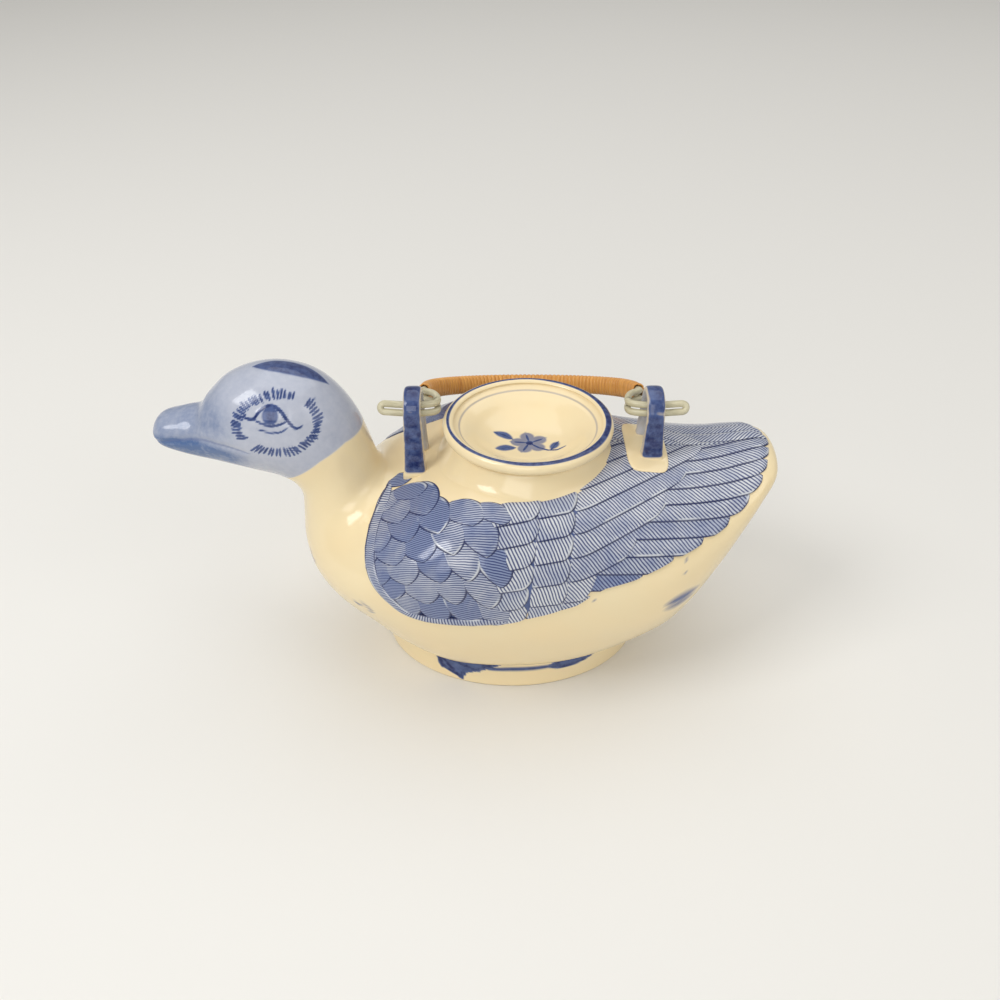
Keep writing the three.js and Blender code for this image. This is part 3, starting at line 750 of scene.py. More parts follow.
        # A coarse search gives the start, then Newton's steps close in, kept short near flat places
        step_i, step_j = 5, 6
        start_j = len(self.chart["angle"]) // 2 if lower else 0
        stop_j = len(self.chart["angle"]) if lower or "girth" in names else len(self.chart["angle"]) // 2
        coarse_a = first[::step_i, start_j:stop_j:step_j]
        coarse_b = second[::step_i, start_j:stop_j:step_j]
        gap = (coarse_a.ravel() - wanted[0][:, None]) ** 2 + (coarse_b.ravel() - wanted[1][:, None]) ** 2
        i, j = np.unravel_index(gap.argmin(1), coarse_a.shape)
        i, j = i * float(step_i), start_j + j * float(step_j)
        for _ in range(14):
            missing_a = wanted[0] - self.sampled(first, i, j)
            missing_b = wanted[1] - self.sampled(second, i, j)
            (a_i, a_j), (b_i, b_j) = ([self.sampled(slope, i, j) for slope in pair] for pair in slopes)
            scale = a_i * b_j - a_j * b_i
            scale = np.where(np.abs(scale) < 1e-5, 1e-5, scale)
            move_i = np.clip((missing_a * b_j - missing_b * a_j) / scale, -6, 6)
            move_j = np.clip((a_i * missing_b - b_i * missing_a) / scale, -5, 5)
            i = np.clip(i + move_i, 0, first.shape[0] - 1)
            j = np.clip(j + move_j, 0, first.shape[1] - 1)
        rows, columns = np.arange(first.shape[0]), np.arange(first.shape[1])
        return np.interp(i, rows, self.chart["place"]), np.interp(j, columns, self.chart["angle"])

    def girth(self, place: Array, angle: Array) -> Array:
        """Way down the skin from the back's middle line.

        Args:
            place: Place along the pot.
            angle: Way round from the back's middle line, of either sign.

        Returns:
            The girth in millimetres.
        """
        row = np.interp(place, self.chart["place"], np.arange(len(self.chart["place"])))
        column = np.interp(np.abs(angle), self.chart["angle"], np.arange(len(self.chart["angle"])))
        return self.sampled(self.chart["girth"], row, column)

    def on_wing(self, s: Array, girth: Array, growth: Array, side: Side) -> Array:
        """Points over the skin from their place along the pot and their girth."""
        place, angle = self.located(("x", "girth"), (s, girth))
        return self.points(place, angle * side.value, growth)

    def height_at(self, x: Array, y: Array, lower: bool = False) -> Array:
        """Height of the back, or of the belly, over a point of the table."""
        place, angle = self.located(("x", "y"), (x, np.abs(y - self.origin[1])), lower)
        return self.points(place, angle)[..., 2]


@dataclass
class WingPlan:
    """Outlines of a folded wing, in place along the pot and girth."""

    mouth_s: float = 14.2
    bare_radius: float = 31.3
    ridge_gap: float = 0.15
    back_gap: float = 2.5
    lug_s: float = -18.0
    lug_half: float = 5.5
    lug_gap: float = 11.5
    neck_end: tuple = ((-17, 4), (-24, 3), (-27.5, 7), (-30.5, 16), (-32.8, 27))
    far_neck_end: tuple = ((-6, 24), (-14, 25), (-22, 27), (-28, 31), (-32, 35))
    shoulder: tuple = (
        (-33.4, 39), (-32.6, 50), (-30.4, 60), (-25.6, 71), (-21, 77.4), (-14, 79.8), (-3.6, 78.8),
        (6, 76.4), (14, 74),
    )
    belly_edge: tuple = ((24.5, 68.9), (35, 63.2), (43.8, 56))
    wing_tip: tuple = (
        (54.5, 51.4), (64, 45.6), (75.6, 38.4), (85.5, 31.5), (92.3, 24.8), (97, 18), (99.5, 10), (101.5, 2),
    )
    row_top: float = 31.6
    row_step: float = 7.3
    row_slope: float = 0.29
    row_bend: float = 37.0
    row_more: float = 0.38
    vane_top: float = 0.9
    vane_step: float = 6.2
    vane_slope: float = 0.14

    def on(self, side: Side) -> "WingPlan":
        """Plan of one side; the far wing starts further down the shoulder."""
        return self if side is Side.NEAR else replace(self, neck_end=self.far_neck_end)

    def bare(self, s: Array, girth: Array) -> Array:
        """How far a place lies in the ring that stays bare by the collar, from 0 to 1."""
        return smoothstep(1.01, 0.97, np.hypot(s - self.mouth_s, girth) / (self.bare_radius - 3))

    def top_edge(self, s: float) -> float:
        """Girth at which the shoulder's scales begin.

        Args:
            s: Place along the pot.

        Returns:
            The largest of what the collar, the front lug and the neck leave free.
        """
        collar = max(self.bare_radius**2 - (s - self.mouth_s) ** 2, 0) ** 0.5
        lug_foot = self.lug_gap if abs(s - self.lug_s) < self.lug_half else self.back_gap
        ends = np.array(self.neck_end)
        neck = float(np.interp(-s, -ends[:, 0], ends[:, 1]))
        return max(collar, lug_foot, neck)

    def arc(self, first: float, last: float, count: int) -> Array:
        """Points round the bare ring by the collar, between two angles in degrees."""
        turn = np.radians(np.linspace(first, last, count))
        return np.array([self.mouth_s, 0]) + self.bare_radius * np.stack([np.cos(turn), np.sin(turn)], 1)

    def outline(self) -> Array:
        """Corners of the whole wing."""
        ends = [*self.neck_end, *self.shoulder, *self.belly_edge, *self.wing_tip, (101.5, -1), (60, -1)]
        return np.vstack([ends, self.arc(-2, 172, 18)])

    def scale_field(self) -> Array:
        """Corners of the shoulder's field of scales."""
        border = [*self.neck_end, *self.shoulder[:-1], (10.5, 74.4), (11.5, 50), (9.5, 29)]
        return np.vstack([border, self.arc(97, 150, 6)])

    def row_line(self, row: float, s: Array) -> Array:
        """Girth of the line above a row of secondary feathers.

        Args:
            row: Number of the row, counted down from the back.
            s: Places along the pot.

        Returns:
            The girth at each place.
        """
        past = s - self.row_bend
        bend = 0.5 * (past + np.sqrt(past**2 + 9))
        return self.row_top + self.row_step * row - self.row_slope * (s - 12) - self.row_more * bend

    def vane_line(self, vane: float, s: Array) -> Array:
        """Girth of the line above a primary feather."""
        start = self.vane_start(vane)
        return self.vane_top + self.vane_step * vane - self.vane_slope * (s - start)

    def vane_start(self, vane: float) -> float:
        """Where a primary feather comes out from under the secondaries."""
        return 80.5 - 3.5 * vane - 0.12 * vane**2


@dataclass
class Wings:
    """Folded wings: overlapping porcelain feathers in low relief."""

    skin: PotSkin
    finish: HatchedFeathers = field(default_factory=HatchedFeathers)
    plan: WingPlan = field(default_factory=WingPlan)
    rings: int = 26
    sides: int = 20
    root: float = 0.12
    tip: float = 0.9
    bury: float = 0.5
    squeeze: float = 0.015
    scale_width: float = 9.8
    scale_step: float = 9.6
    scale_length: float = 18.5
    scale_hatch: float = 0.85
    vane_hatch: float = 1.05
    rim_half: float = 1.8

    def feather(
        self,
        bm: bmesh.types.BMesh,
        side: Side,
        border: Array,
        shape: Callable[[Array, Array], tuple[Array, Array, Array]],
        lift: Callable[[Array, Array], Array],
        hatch: tuple[float, float],
        tone: float,
    ) -> None:
        """Adds one feather.

        Args:
            bm: Mesh of the wing.
            side: Side of the duck.
            border: Corners of the field that the feather is kept inside.
            shape: Gives place, girth and distance from the free edge, along and across the feather.
            lift: Gives the height over the skin, along and across it.
            hatch: Direction of the hatching in degrees down from tailwards, and its pitch.
            tone: Depth of the blue between the lines.
        """
        turned = math.radians(hatch[0])
        along, across = (way.ravel() for way in np.meshgrid(np.linspace(0, 1, 9), np.linspace(-1, 1, 9)))
        s, girth, _ = shape(along, across)
        within, _ = inside(border, np.stack([s, girth], 1))
        # A feather that lies wholly past the border would only be a flat scrap on it
        if not np.any(within & (girth > self.plan.ridge_gap)):
            return

        def place(ring: Array, turn: Array) -> Placed:
            """Sets the sphere on the feather, whose points past the border are drawn back to it.

            Args:
                ring: Way along the feather.
                turn: Way round its section.

            Returns:
                Points, and the marks hatch, rim and tone.
            """
            u = 0.5 - 0.5 * np.cos(math.pi * ring)
            angle = turn * math.tau
            v = np.cos(angle)
            s, girth, rim = shape(u, v)
            spot = np.stack([s, girth], 1)
            kept, edge = inside(border, spot)
            s, girth = np.where(kept[:, None], spot, edge + self.squeeze * (spot - edge)).T
            girth = girth + (1 - self.squeeze) * np.maximum(self.plan.ridge_gap - girth, 0)
            rise = np.sign(np.sin(angle)) * np.abs(np.sin(angle)) ** 0.35
            closing = np.minimum(1, 14 * np.minimum(u, 1 - u)) ** 0.5
            top, bottom = lift(u, v), -self.bury
            bare = self.plan.bare(s, girth)
            top = top * (1 - bare) + (bottom + 0.1) * bare
            growth = (top + bottom) / 2 + (top - bottom) / 2 * rise * closing
            points = self.skin.on_wing(s, girth, growth, side)
            phase = (np.cos(turned) * girth - np.sin(turned) * s) / hatch[1]
            return points, {"hatch": phase, "rim": rim, "tone": tone}

        loft(bm, self.rings, self.sides, place)

    def scales(
        self, bm: bmesh.types.BMesh, side: Side, chance: np.random.Generator, plan: WingPlan
    ) -> None:
        """Adds the shoulder's leaf-shaped scales, each row lying over the next.

        Args:
            bm: Mesh of the wing.
            side: Side of the duck.
            chance: Random draws for places, widths, hatching and tones.
            plan: Outlines of this side.
        """
        corners = plan.scale_field()
        border = np.array([*plan.neck_end, *plan.shoulder, (24, 68), (24, -1), (-17, -1)])
        rows = int((corners[:, 1].max() + self.scale_step) / self.scale_step) + 1
        for row in range(rows):
            for column in range(6):
                middle = -34 + self.scale_width * (column + 0.5 * (row % 2)) + chance.uniform(-0.8, 0.8)
                tip = 12 + self.scale_step * row + chance.uniform(-1.1, 1.1)
                core = np.array([[middle, tip - 5.0]])
                within, nearest = inside(corners, core)
                length = min(self.scale_length, tip - plan.top_edge(middle))
                if length < 6.5 or not within[0] and np.linalg.norm(nearest - core) > 2.6:
                    continue
                lean = 3.0 + 0.06 * (middle + 33)
                wide = self.scale_width * 0.64 * chance.uniform(0.95, 1.1)
                height = self.tip + 0.05 * (column % 2)

                def shape(u: Array, v: Array) -> tuple[Array, Array, Array]:
                    """Leaf form, blunt at the root and drawn in at the tip.

                    Args:
                        u: Way along the scale.
                        v: Way across it, -1 to 1.

                    Returns:
                        Place, girth and distance from the edge.
                    """
                    blunt = np.clip(1 - u / 0.45, 0, 1) ** 2.2
                    drawn_in = np.clip((u - 0.45) / 0.55, 0, 1) ** 2.3
                    half = wide * (1 - blunt) ** 0.5 * (1 - drawn_in) ** 0.86
                    s = middle + lean * (u - 0.7) + v * half
                    girth = tip + length * (u - 1)
                    return s, girth, half * (1 - np.abs(v)) * 0.62 + 0.02

                def lift(u: Array, v: Array) -> Array:
                    """Height over the skin, most at the tip's middle."""
                    return (self.root + (height - self.root) * u) * (1 - 0.25 * v**2) + 0.15

                turned = chance.uniform(-4, 14)
                tone = chance.choice([0.4, 0.65, 0.85, 1.0])
                self.feather(bm, side, border, shape, lift, (turned, self.scale_hatch), tone)

    def band(
        self,
        bm: bmesh.types.BMesh,
        side: Side,
        lines: tuple[Callable[[Array], Array], Callable[[Array], Array]],
        span: tuple[float, float],
        droop: tuple[float, float],
        hatch: tuple[float, float],
        tone: float,
    ) -> None:
        """Adds a tongue-shaped feather between two lines.

        Args:
            bm: Mesh of the wing.
            side: Side of the duck.
            lines: Girth of its upper and lower edge from the place along.
            span: Place of its root and of its tip.
            droop: How far root and tip lean back down the feather's width.
            hatch: Direction and pitch of the hatching.
            tone: Depth of the blue between the lines.
        """
        length = abs(span[1] - span[0])
        corner = min(3.4, length * 0.2)

        def shape(u: Array, v: Array) -> tuple[Array, Array, Array]:
            """Tongue form between the two lines, with rounded corners at its tip.

            Args:
                u: Way along the feather.
                v: Way across it, -1 to 1.

            Returns:
                Place, girth and distance from the free edge.
            """
            fill = np.maximum(1 - np.abs(2 * u - 1) ** 9, 0) ** (1 / 9)
            share = (v * fill + 1) / 2
            start = span[0] + droop[0] * share
            end = span[1] + droop[1] * share - corner * share**5 - 0.3 * corner * (1 - share) ** 6
            s = start + u * (end - start)
            upper, lower = lines[0](s), lines[1](s)
            girth = upper + (lower + 1.1 - upper) * share
            edge = (1 - share) * (lower - upper)
            ending = (1 - u) * length
            return s, girth, np.minimum(edge, 0.55 * ending + 0.1 * edge)

        def lift(u: Array, v: Array) -> Array:
            """Height over the skin, most at the tip and the lower edge."""
            return self.root + (self.tip - self.root) * (0.45 * u + 0.55 * (v + 1) / 2) + 0.05

        self.feather(bm, side, self.plan.outline(), shape, lift, hatch, tone)

    def secondaries(self, bm: bmesh.types.BMesh, side: Side, chance: np.random.Generator) -> None:
        """Adds the rows of feathers over the flank, in two short columns and one of long ones.

        Args:
            bm: Mesh of the wing.
            side: Side of the duck.
            chance: Random draws for lengths and tones.
        """
        plan = self.plan
        columns = [(7.0, 23.8, 64), (22.0, 35.6, 67)]
        for row in range(6):
            lines = (lambda s, r=row: plan.row_line(r, s), lambda s, r=row + 1: plan.row_line(r, s))
            for start, end, turned in columns:
                back = 0.9 * row
                span = (start - 0.5 * row, end - back + chance.uniform(-0.5, 0.5))
                tone = chance.uniform(-0.1, 0.3)
                self.band(bm, side, lines, span, (0, -0.6), (turned, self.vane_hatch), tone)
        for row in range(-4, 6):
            lines = (lambda s, r=row: plan.row_line(r, s), lambda s, r=row + 1: plan.row_line(r, s))
            end = self.meeting(row + 0.5)
            start = 34 - 0.8 * max(row, 0)
            tone = chance.uniform(-0.1, 0.45)
            self.band(bm, side, lines, (start, end), (0, -3.2), (44, self.vane_hatch), tone)

    def meeting(self, row: float) -> float:
        """Finds where a row of secondaries reaches the primaries.

        Args:
            row: Number of the row.

        Returns:
            Place along the pot.
        """
        places = np.linspace(40, 86, 93)
        girth = self.plan.row_line(row, places)
        vanes = np.linspace(-1, 9, 81)
        starts = np.array([self.plan.vane_start(vane) for vane in vanes])
        boundary = np.interp(places, starts[::-1], (self.plan.vane_top + self.plan.vane_step * vanes)[::-1])
        return float(places[np.abs(girth - boundary).argmin()])

    def primaries(self, bm: bmesh.types.BMesh, side: Side, chance: np.random.Generator) -> None:
        """Adds the long feathers that reach to the tail.

        Args:
            bm: Mesh of the wing.
            side: Side of the duck.
            chance: Random draws for tones.
        """
        plan = self.plan
        edge = np.array([*plan.belly_edge[-1:], *plan.wing_tip])
        for vane in range(-1, 9):
            lines = (lambda s, k=vane: plan.vane_line(k, s), lambda s, k=vane + 1: plan.vane_line(k, s))
            start = plan.vane_start(vane + 0.5)
            middle = plan.vane_top + plan.vane_step * (vane + 0.5) - 2.4
            end = float(np.interp(middle, edge[::-1, 1], edge[::-1, 0])) + 2.2
            tone = chance.uniform(-0.1, 0.3) + 0.07 * vane
            self.band(bm, side, lines, (start - 5, end), (-3.4, -3.0), (43, self.vane_hatch), tone)

    def rim(self, bm: bmesh.types.BMesh, side: Side, plan: WingPlan) -> None:
        """Adds the raised rim round the shoulder.

        Args:
            bm: Mesh of the wing.
            side: Side of the duck.
            plan: Outlines of this side.
        """
        line = smooth_path(np.array([*plan.neck_end[2:], *plan.shoulder]), 160)
        normal = unit(np.gradient(line, axis=0)[:, ::-1] * np.array([1, -1]))
        steps = np.linspace(0, 1, len(line))

        def place(ring: Array, turn: Array) -> Placed:
            """Sets the sphere on the rim.

            Args:
                ring: Way along the rim.
                turn: Way round its section.

            Returns:
                Points, and the marks hatch, rim and tone.
            """
            angle = turn * math.tau
            from_end = np.minimum(ring, 1 - ring)
            spot, out = (
                np.stack([np.interp(ring, steps, column) for column in values.T], 1)
                for values in (line, normal)
            )
            half = self.rim_half * np.minimum(1, 12 * from_end) ** 0.5
            spot = spot + out * (half * (1 + np.cos(angle)))[:, None]
            gap = half * (1 - np.abs(np.cos(angle)))
            growth = 0.42 + 0.8 * np.sin(angle) * np.minimum(1, 14 * from_end) ** 0.5
            points = self.skin.on_wing(spot[:, 0], np.maximum(spot[:, 1], 1), growth, side)
            return points, {"hatch": ring * 110, "rim": 0.2 + gap, "tone": 0.4}

        loft(bm, 240, 16, place)

    def build(self) -> None:
        """Builds both wings."""
        material = self.finish.material()
        for side in Side:
            chance = np.random.default_rng(5)
            plan = self.plan.on(side)
            bm = new_mesh("hatch", "rim", "tone")
            self.primaries(bm, side, chance)
            self.secondaries(bm, side, chance)
            self.scales(bm, side, chance, plan)
            self.rim(bm, side, plan)
            finished(bm, f"{side.name.lower()}_wing_feathers", material, Body.POT, Slot.GLAZED)


@dataclass
class PaintedHead:
    """Cobalt painting of the head and neck, on places given as x, distance from the middle, and z."""

    eye: tuple = (-76.3, 15.6, 103.7)
    eye_long: float = 5.3
    eye_high: float = 2.8
    ring_long: float = 13.6
    ring_high: float = 9.7
    ring_middle: tuple = (-74.6, 99.9)
    dashes: int = 62
    neck_line: tuple = (
        (-90, 72), (-80, 75), (-73, 79.4), (-62.6, 87.1), (-54.9, 90.9), (-50.7, 91), (-44, 90),
    )
    end: float = -44.0
    off_middle: float = 3.0

    def on_side(self, at: Array) -> Array:
        """Whether a place is on the head and off its middle line."""
        return (at[:, 1] > self.off_middle) * (at[:, 0] < self.end)

    def wash(self, at: Array) -> Array:
        """Depth of the blue wash.

        Args:
            at: Places as x, distance from the middle, and z, from the drawing's origin.

        Returns:
            The wash, from 0 to 1.
        """
        x, y, z = at.T
        line = np.array(self.neck_line)
        above = z - np.interp(x, line[:, 0], line[:, 1])
        head = smoothstep(-0.3, 0.5, above) * (x < self.end)
        bill = smoothstep(-88, -104, x)
        under = smoothstep(92.5, 88.5, z) * smoothstep(-82, -96, x)
        root = np.exp(-(((x + 95) / 6) ** 2) - ((z - 99) / 5) ** 2) * 0.22
        cheek = np.exp(-(((x + 74) / 11) ** 2) - ((z - 99) / 8) ** 2) * 0.2
        return head * np.clip(0.36 + 0.27 * bill + 0.75 * under + root - cheek, 0.3, 1)

    def ink(self, at: Array) -> Array:
        """Depth of the painted lines.

        Args:
            at: Places as x, distance from the middle, and z, from the drawing's origin.

        Returns:
            The ink, from 0 to 1.
        """
        side = at[:, [0, 2]]
        done = [self.eye_ink(side), self.ring_ink(side)]
        mandible = [(-116.5, 88.8), (-112, 90.1), (-99.5, 92.4), (-92, 92.2), (-84.5, 90.6)]
        done.append(0.22 * stroke(side, mandible, 1.0, taper=0.3))
        ink = np.maximum.reduce(done) * self.on_side(at)
        crown = [(-83.5, 0), (-77, 0.6), (-68, 0.6), (-60.5, 0)]
        leaf = stroke(at[:, :2], crown, 6.4, soft=1.2, taper=0.75)
        return np.maximum(ink, 0.72 * leaf * (at[:, 2] > 97))

    def eye_ink(self, side: Array) -> Array:
        """Almond outline, iris, pupil and the two lines at its corners.

        Args:
            side: Places as x and z.

        Returns:
            The ink, from 0 to 1.
        """
        x, z = side[:, 0] - self.eye[0], side[:, 1] - self.eye[2]
        long, high = self.eye_long, self.eye_high
        upper = [(-long * 1.75, -0.2), (-long * 1.05, -0.9), (-long * 0.55, high * 0.6), (0.3, high)]
        upper += [(long * 0.6, high * 0.45), (long, -1.6), (long * 1.45, -4.1), (long * 1.8, -3.6)]
        lower = [(-long, -0.9), (-long * 0.45, -high * 0.78), (0.2, -high)]
        lower += [(long * 0.6, -high * 0.85), (long, -1.6)]
        fold = [(-long * 0.85, -high - 0.9), (0, -high - 2.1), (long * 0.6, -high - 1.9), (long, -high - 0.6)]
        at = np.stack([x, z], 1)
        reach = np.hypot(x, z)
        iris = np.clip((2.5 - reach) / 0.6 + 0.5, 0, 1) * 0.5
        pupil = np.clip((1.3 - reach) / 0.6 + 0.5, 0, 1) * 0.45
        lines = [0.95 * stroke(at, smooth_path(upper, 24), 0.75, taper=0.25)]
        lines.append(0.8 * stroke(at, smooth_path(lower, 18), 0.6, taper=0.3))
        lines.append(0.7 * stroke(at, smooth_path(fold, 14), 0.5, taper=0.4))
        return np.maximum.reduce([*lines, iris + pupil])

    def ring_ink(self, side: Array) -> Array:
        """Short tapered dashes round the eye.

        Args:
            side: Places as x and z.

        Returns:
            The ink, from 0 to 1.
        """
        ink = np.zeros(len(side))
        chance = np.random.default_rng(11)
        for dash in range(self.dashes):
            degrees = 360 * dash / self.dashes + chance.uniform(-1.5, 1.5)
            if 44 < degrees < 58 or 206 < degrees < 228:
                continue
            turn = math.radians(degrees)
            way = np.array([math.cos(turn), math.sin(turn)]) * np.array([self.ring_long, self.ring_high])
            inner = 0.8 - 0.16 * max(-math.sin(turn), 0)
            start = np.array(self.ring_middle) + way * (inner + chance.uniform(0, 0.06))
            end = np.array(self.ring_middle) + way * chance.uniform(1.0, 1.07) + np.array([-0.5, 0.2])
            ink = np.maximum(ink, 0.85 * stroke(side, [start, end], 0.6, soft=0.3, taper=0.4))
        return ink

    def relief(self, at: Array) -> Array:
        """Height of the modelled eye and depth of the bill's parting line.

        Args:
            at: Places as x, distance from the middle, and z, from the drawing's origin.

        Returns:
            Millimetres outside the skin.
        """
        side = at[:, [0, 2]]
        x, z = side[:, 0] - self.eye[0], side[:, 1] - self.eye[2]
        ball = np.clip(1 - (x / self.eye_long) ** 2 - (z / self.eye_high) ** 2, 0, 1) ** 0.7 * 0.45
        parting = [(-118.5, 88.4), (-112, 90.1), (-99.5, 92.4), (-92, 92.2), (-86, 91)]
        groove = stroke(side, parting, 2.2, soft=1.6, taper=0.3) * 0.55
        return (ball - groove) * self.on_side(at)


@dataclass
class Pot:
    """Hollow body, neck, head and bill in one, with a mouth in the back and a slot in the bill."""

    skin: PotSkin
    glaze: bpy.types.Material
    plan: WingPlan = field(default_factory=WingPlan)
    head: PaintedHead = field(default_factory=PaintedHead)
    wall: float = 4.0
    mouth: float = 42.0
    spout_width: float = 10.0
    spout_height: float = 5.6
    cavity_start: float = 4.4
    head_step: float = 0.5
    body_step: float = 1.35
    sides: int = 220
    bedding: float = 0.12

    def ring_places(self) -> Array:
        """Places of the rings, close together on the head.

        Returns:
            Places along the pot, at even steps over the skin.
        """
        place = np.linspace(0, self.skin.last, 3000)
        back = self.skin.points(place, np.zeros(1))
        belly = self.skin.points(place, np.full(1, math.pi))
        steps = [np.linalg.norm(np.diff(line, axis=0), axis=1) for line in (back, belly)]
        head = place[1:] < 13
        spacing = np.where(head, self.head_step, self.body_step)
        travel = np.where(head, steps[0], np.maximum(*steps)) / spacing
        done = np.concatenate([[0], np.cumsum(travel)])
        count = int(math.ceil(done[-1]))
        return np.interp(np.linspace(0, done[-1], count + 1), done, place)

    def bedding_ink(self, s: Array, girth: Array, far: Array) -> Array:
        """Ink under the wings' feathers, which shows between them.

        Args:
            s: Place along the pot in the frame.
            girth: Way down from the back's middle line.
            far: Whether the place is on the far side.

        Returns:
            Ink at each place, from 0 to 1.
        """
        spot = np.stack([s, girth], 1)
        ink = np.zeros(len(s))
        for side in Side:
            here = far == (side is Side.FAR)
            within, nearest = inside(self.plan.on(side).outline(), spot[here])
            gap = np.linalg.norm(nearest - spot[here], axis=1) * np.where(within, 1, -1)
            ink[here] = smoothstep(1.8, 2.4, gap)
        off_collar = np.hypot(s - self.plan.mouth_s, girth) - self.plan.bare_radius
        return ink * smoothstep(3.5, 5.0, off_collar) * smoothstep(16.0, 18.0, girth)

    def marks(self, at: Array, s: Array, girth: Array, far: Array) -> dict[str, Array]:
        """Painting of the whole pot.

        Args:
            at: Places as x, distance from the middle, and z, from the drawing's origin.
            s: Place along the pot in the frame.
            girth: Way down from the back's middle line.
            far: Whether the place is on the far side.

        Returns:
            The marks wash and ink.
        """
        ink = np.maximum(self.head.ink(at), 0.5 * self.bedding_ink(s, girth, far))
        for start in range(5):
            x, y, z = (-71.1 + 4.6 * start, 14.9 + 5.4 * start, 47.2 - 0.35 * start)
            arc = [(x, y, z + 2.0), (x + 0.8, y + 2.0, z - 1.2)]
            arc += [(x + 2.6, y + 4.0, z - 0.6), (x + 3.6, y + 4.9, z + 1.2)]
            ink = np.maximum(ink, 0.55 * stroke(at, arc, 1.1, soft=1.3))
        curl = [(-51.5, 40.5, 48.5), (-48.6, 41.5, 46.4), (-46.9, 41, 43.6), (-48, 39, 42.2)]
        ink = np.maximum(ink, 0.5 * stroke(at, curl, 1.2, soft=1.3))
        for height, deep in ((47.5, 0.42), (44.6, 0.36)):
            smear = [(50.5, 40.5, height - 1.5), (55, 38, height - 0.5), (61.4, 34.5, height + 1.4)]
            ink = np.maximum(ink, deep * stroke(at, smear, 4.4, soft=3.0, taper=0.8))
        for spot in ((55.4, 37, 62.8), (25.6, 46.1, 53.9), (55.4, 38.4, 58.5)):
            near = np.linalg.norm(at - np.array(spot), axis=1)
            ink = np.maximum(ink, 0.3 * smoothstep(0.9, 0.3, near))
        return {"wash": self.head.wash(at), "ink": ink}

    def shell(self) -> bpy.types.Object:
        """Solid outer form, painted.

        Returns:
            The form, from which the hollow is still to be cut.
        """
        places = self.ring_places()
        bm = new_mesh("wash", "ink")

        def place(ring: Array, turn: Array) -> Placed:
            """Sets the sphere on the skin.

            Args:
                ring: Way along the pot.
                turn: Way round it.

            Returns:
                Points, and the painting's marks.
            """
            along = places[np.rint(ring * (len(places) - 1)).astype(int)]
            angle = (turn * math.tau + math.pi) % math.tau - math.pi
            plain = self.skin.points(along, angle)
            at = plain - self.skin.origin
            far = at[:, 1] > 0
            at[:, 1] = np.abs(at[:, 1])
            girth = self.skin.girth(along, angle)
            marks = self.marks(at, plain[:, 0], girth, far)
            behind = at[:, 0] > self.head.end
            growth = self.head.relief(at) + self.bedding * smoothstep(0.3, 0.6, marks["ink"]) * behind
            return self.skin.points(along, angle, growth), marks

        loft(bm, len(places) - 1, self.sides, place)
        return as_object(bm, "pot_shell_solid")

    def cutters(self) -> list[bpy.types.Object]:
        """Cavity, mouth and pouring slot, to be cut from the outer form.

        Returns:
            The three solids.
        """
        first, last, rounding = self.cavity_start, self.skin.last - 1, 11
        cavity = new_mesh("wash", "ink")

        def place(ring: Array, turn: Array) -> Placed:
            """Sets the sphere a wall's thickness inside the skin, with round ends.

            Args:
                ring: Way along the cavity.
                turn: Way round it.

            Returns:
                Points, and no marks.
            """
            dome = np.minimum(np.minimum(ring, 1 - ring) * rounding, 1)
            narrowing = np.sqrt(dome * (2 - dome))
            along = first + (last - first) * ring
            return self.skin.points(along, turn * math.tau, -self.wall, narrowing), {}

        loft(cavity, 90, 72, place)
        mouth = new_mesh("wash", "ink")
        middle = self.skin.origin + np.array([self.skin.lid_set_back, 0, 90])
        radius = self.mouth / 2 * MM
        bmesh.ops.create_cone(
            mouth, cap_ends=True, segments=128, radius1=radius, radius2=radius, depth=60 * MM,
            matrix=Matrix.Translation(Vector(middle * MM)),
        )
        slot = new_mesh("wash", "ink")
        tip = self.skin.points(np.zeros(1), np.zeros(1))[0]
        lie = Matrix.Translation(Vector(tip * MM)) @ Matrix.Rotation(math.pi / 2, 4, "Y")
        size = Matrix.Diagonal((self.spout_height * MM / 2, self.spout_width * MM / 2, 46 * MM, 1))
        bmesh.ops.create_cone(
            slot, cap_ends=True, segments=48, radius1=1, radius2=1, depth=1, matrix=lie @ size
        )
        return [as_object(bm, name) for bm, name in ((cavity, "cavity"), (mouth, "mouth"), (slot, "slot"))]

    def build(self) -> None:
        """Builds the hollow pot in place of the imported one."""
        solid = self.shell()
        cutters = self.cutters()
        for cutter in cutters:
            cut = solid.modifiers.new(cutter.name, "BOOLEAN")
            cut.operation = "DIFFERENCE"
            cut.object = cutter
            cut.solver = "MANIFOLD"
        depsgraph = bpy.context.evaluated_depsgraph_get()
        hollow = bpy.data.meshes.new_from_object(solid.evaluated_get(depsgraph))
        bm = bmesh.new()
        bm.from_mesh(hollow)
        for made in (solid, *cutters):
            bpy.data.objects.remove(made)
        finished(bm, "pot_shell", self.glaze, Body.POT, Slot.GLAZED, ("duck_body", "duck_head"), sharp=40)


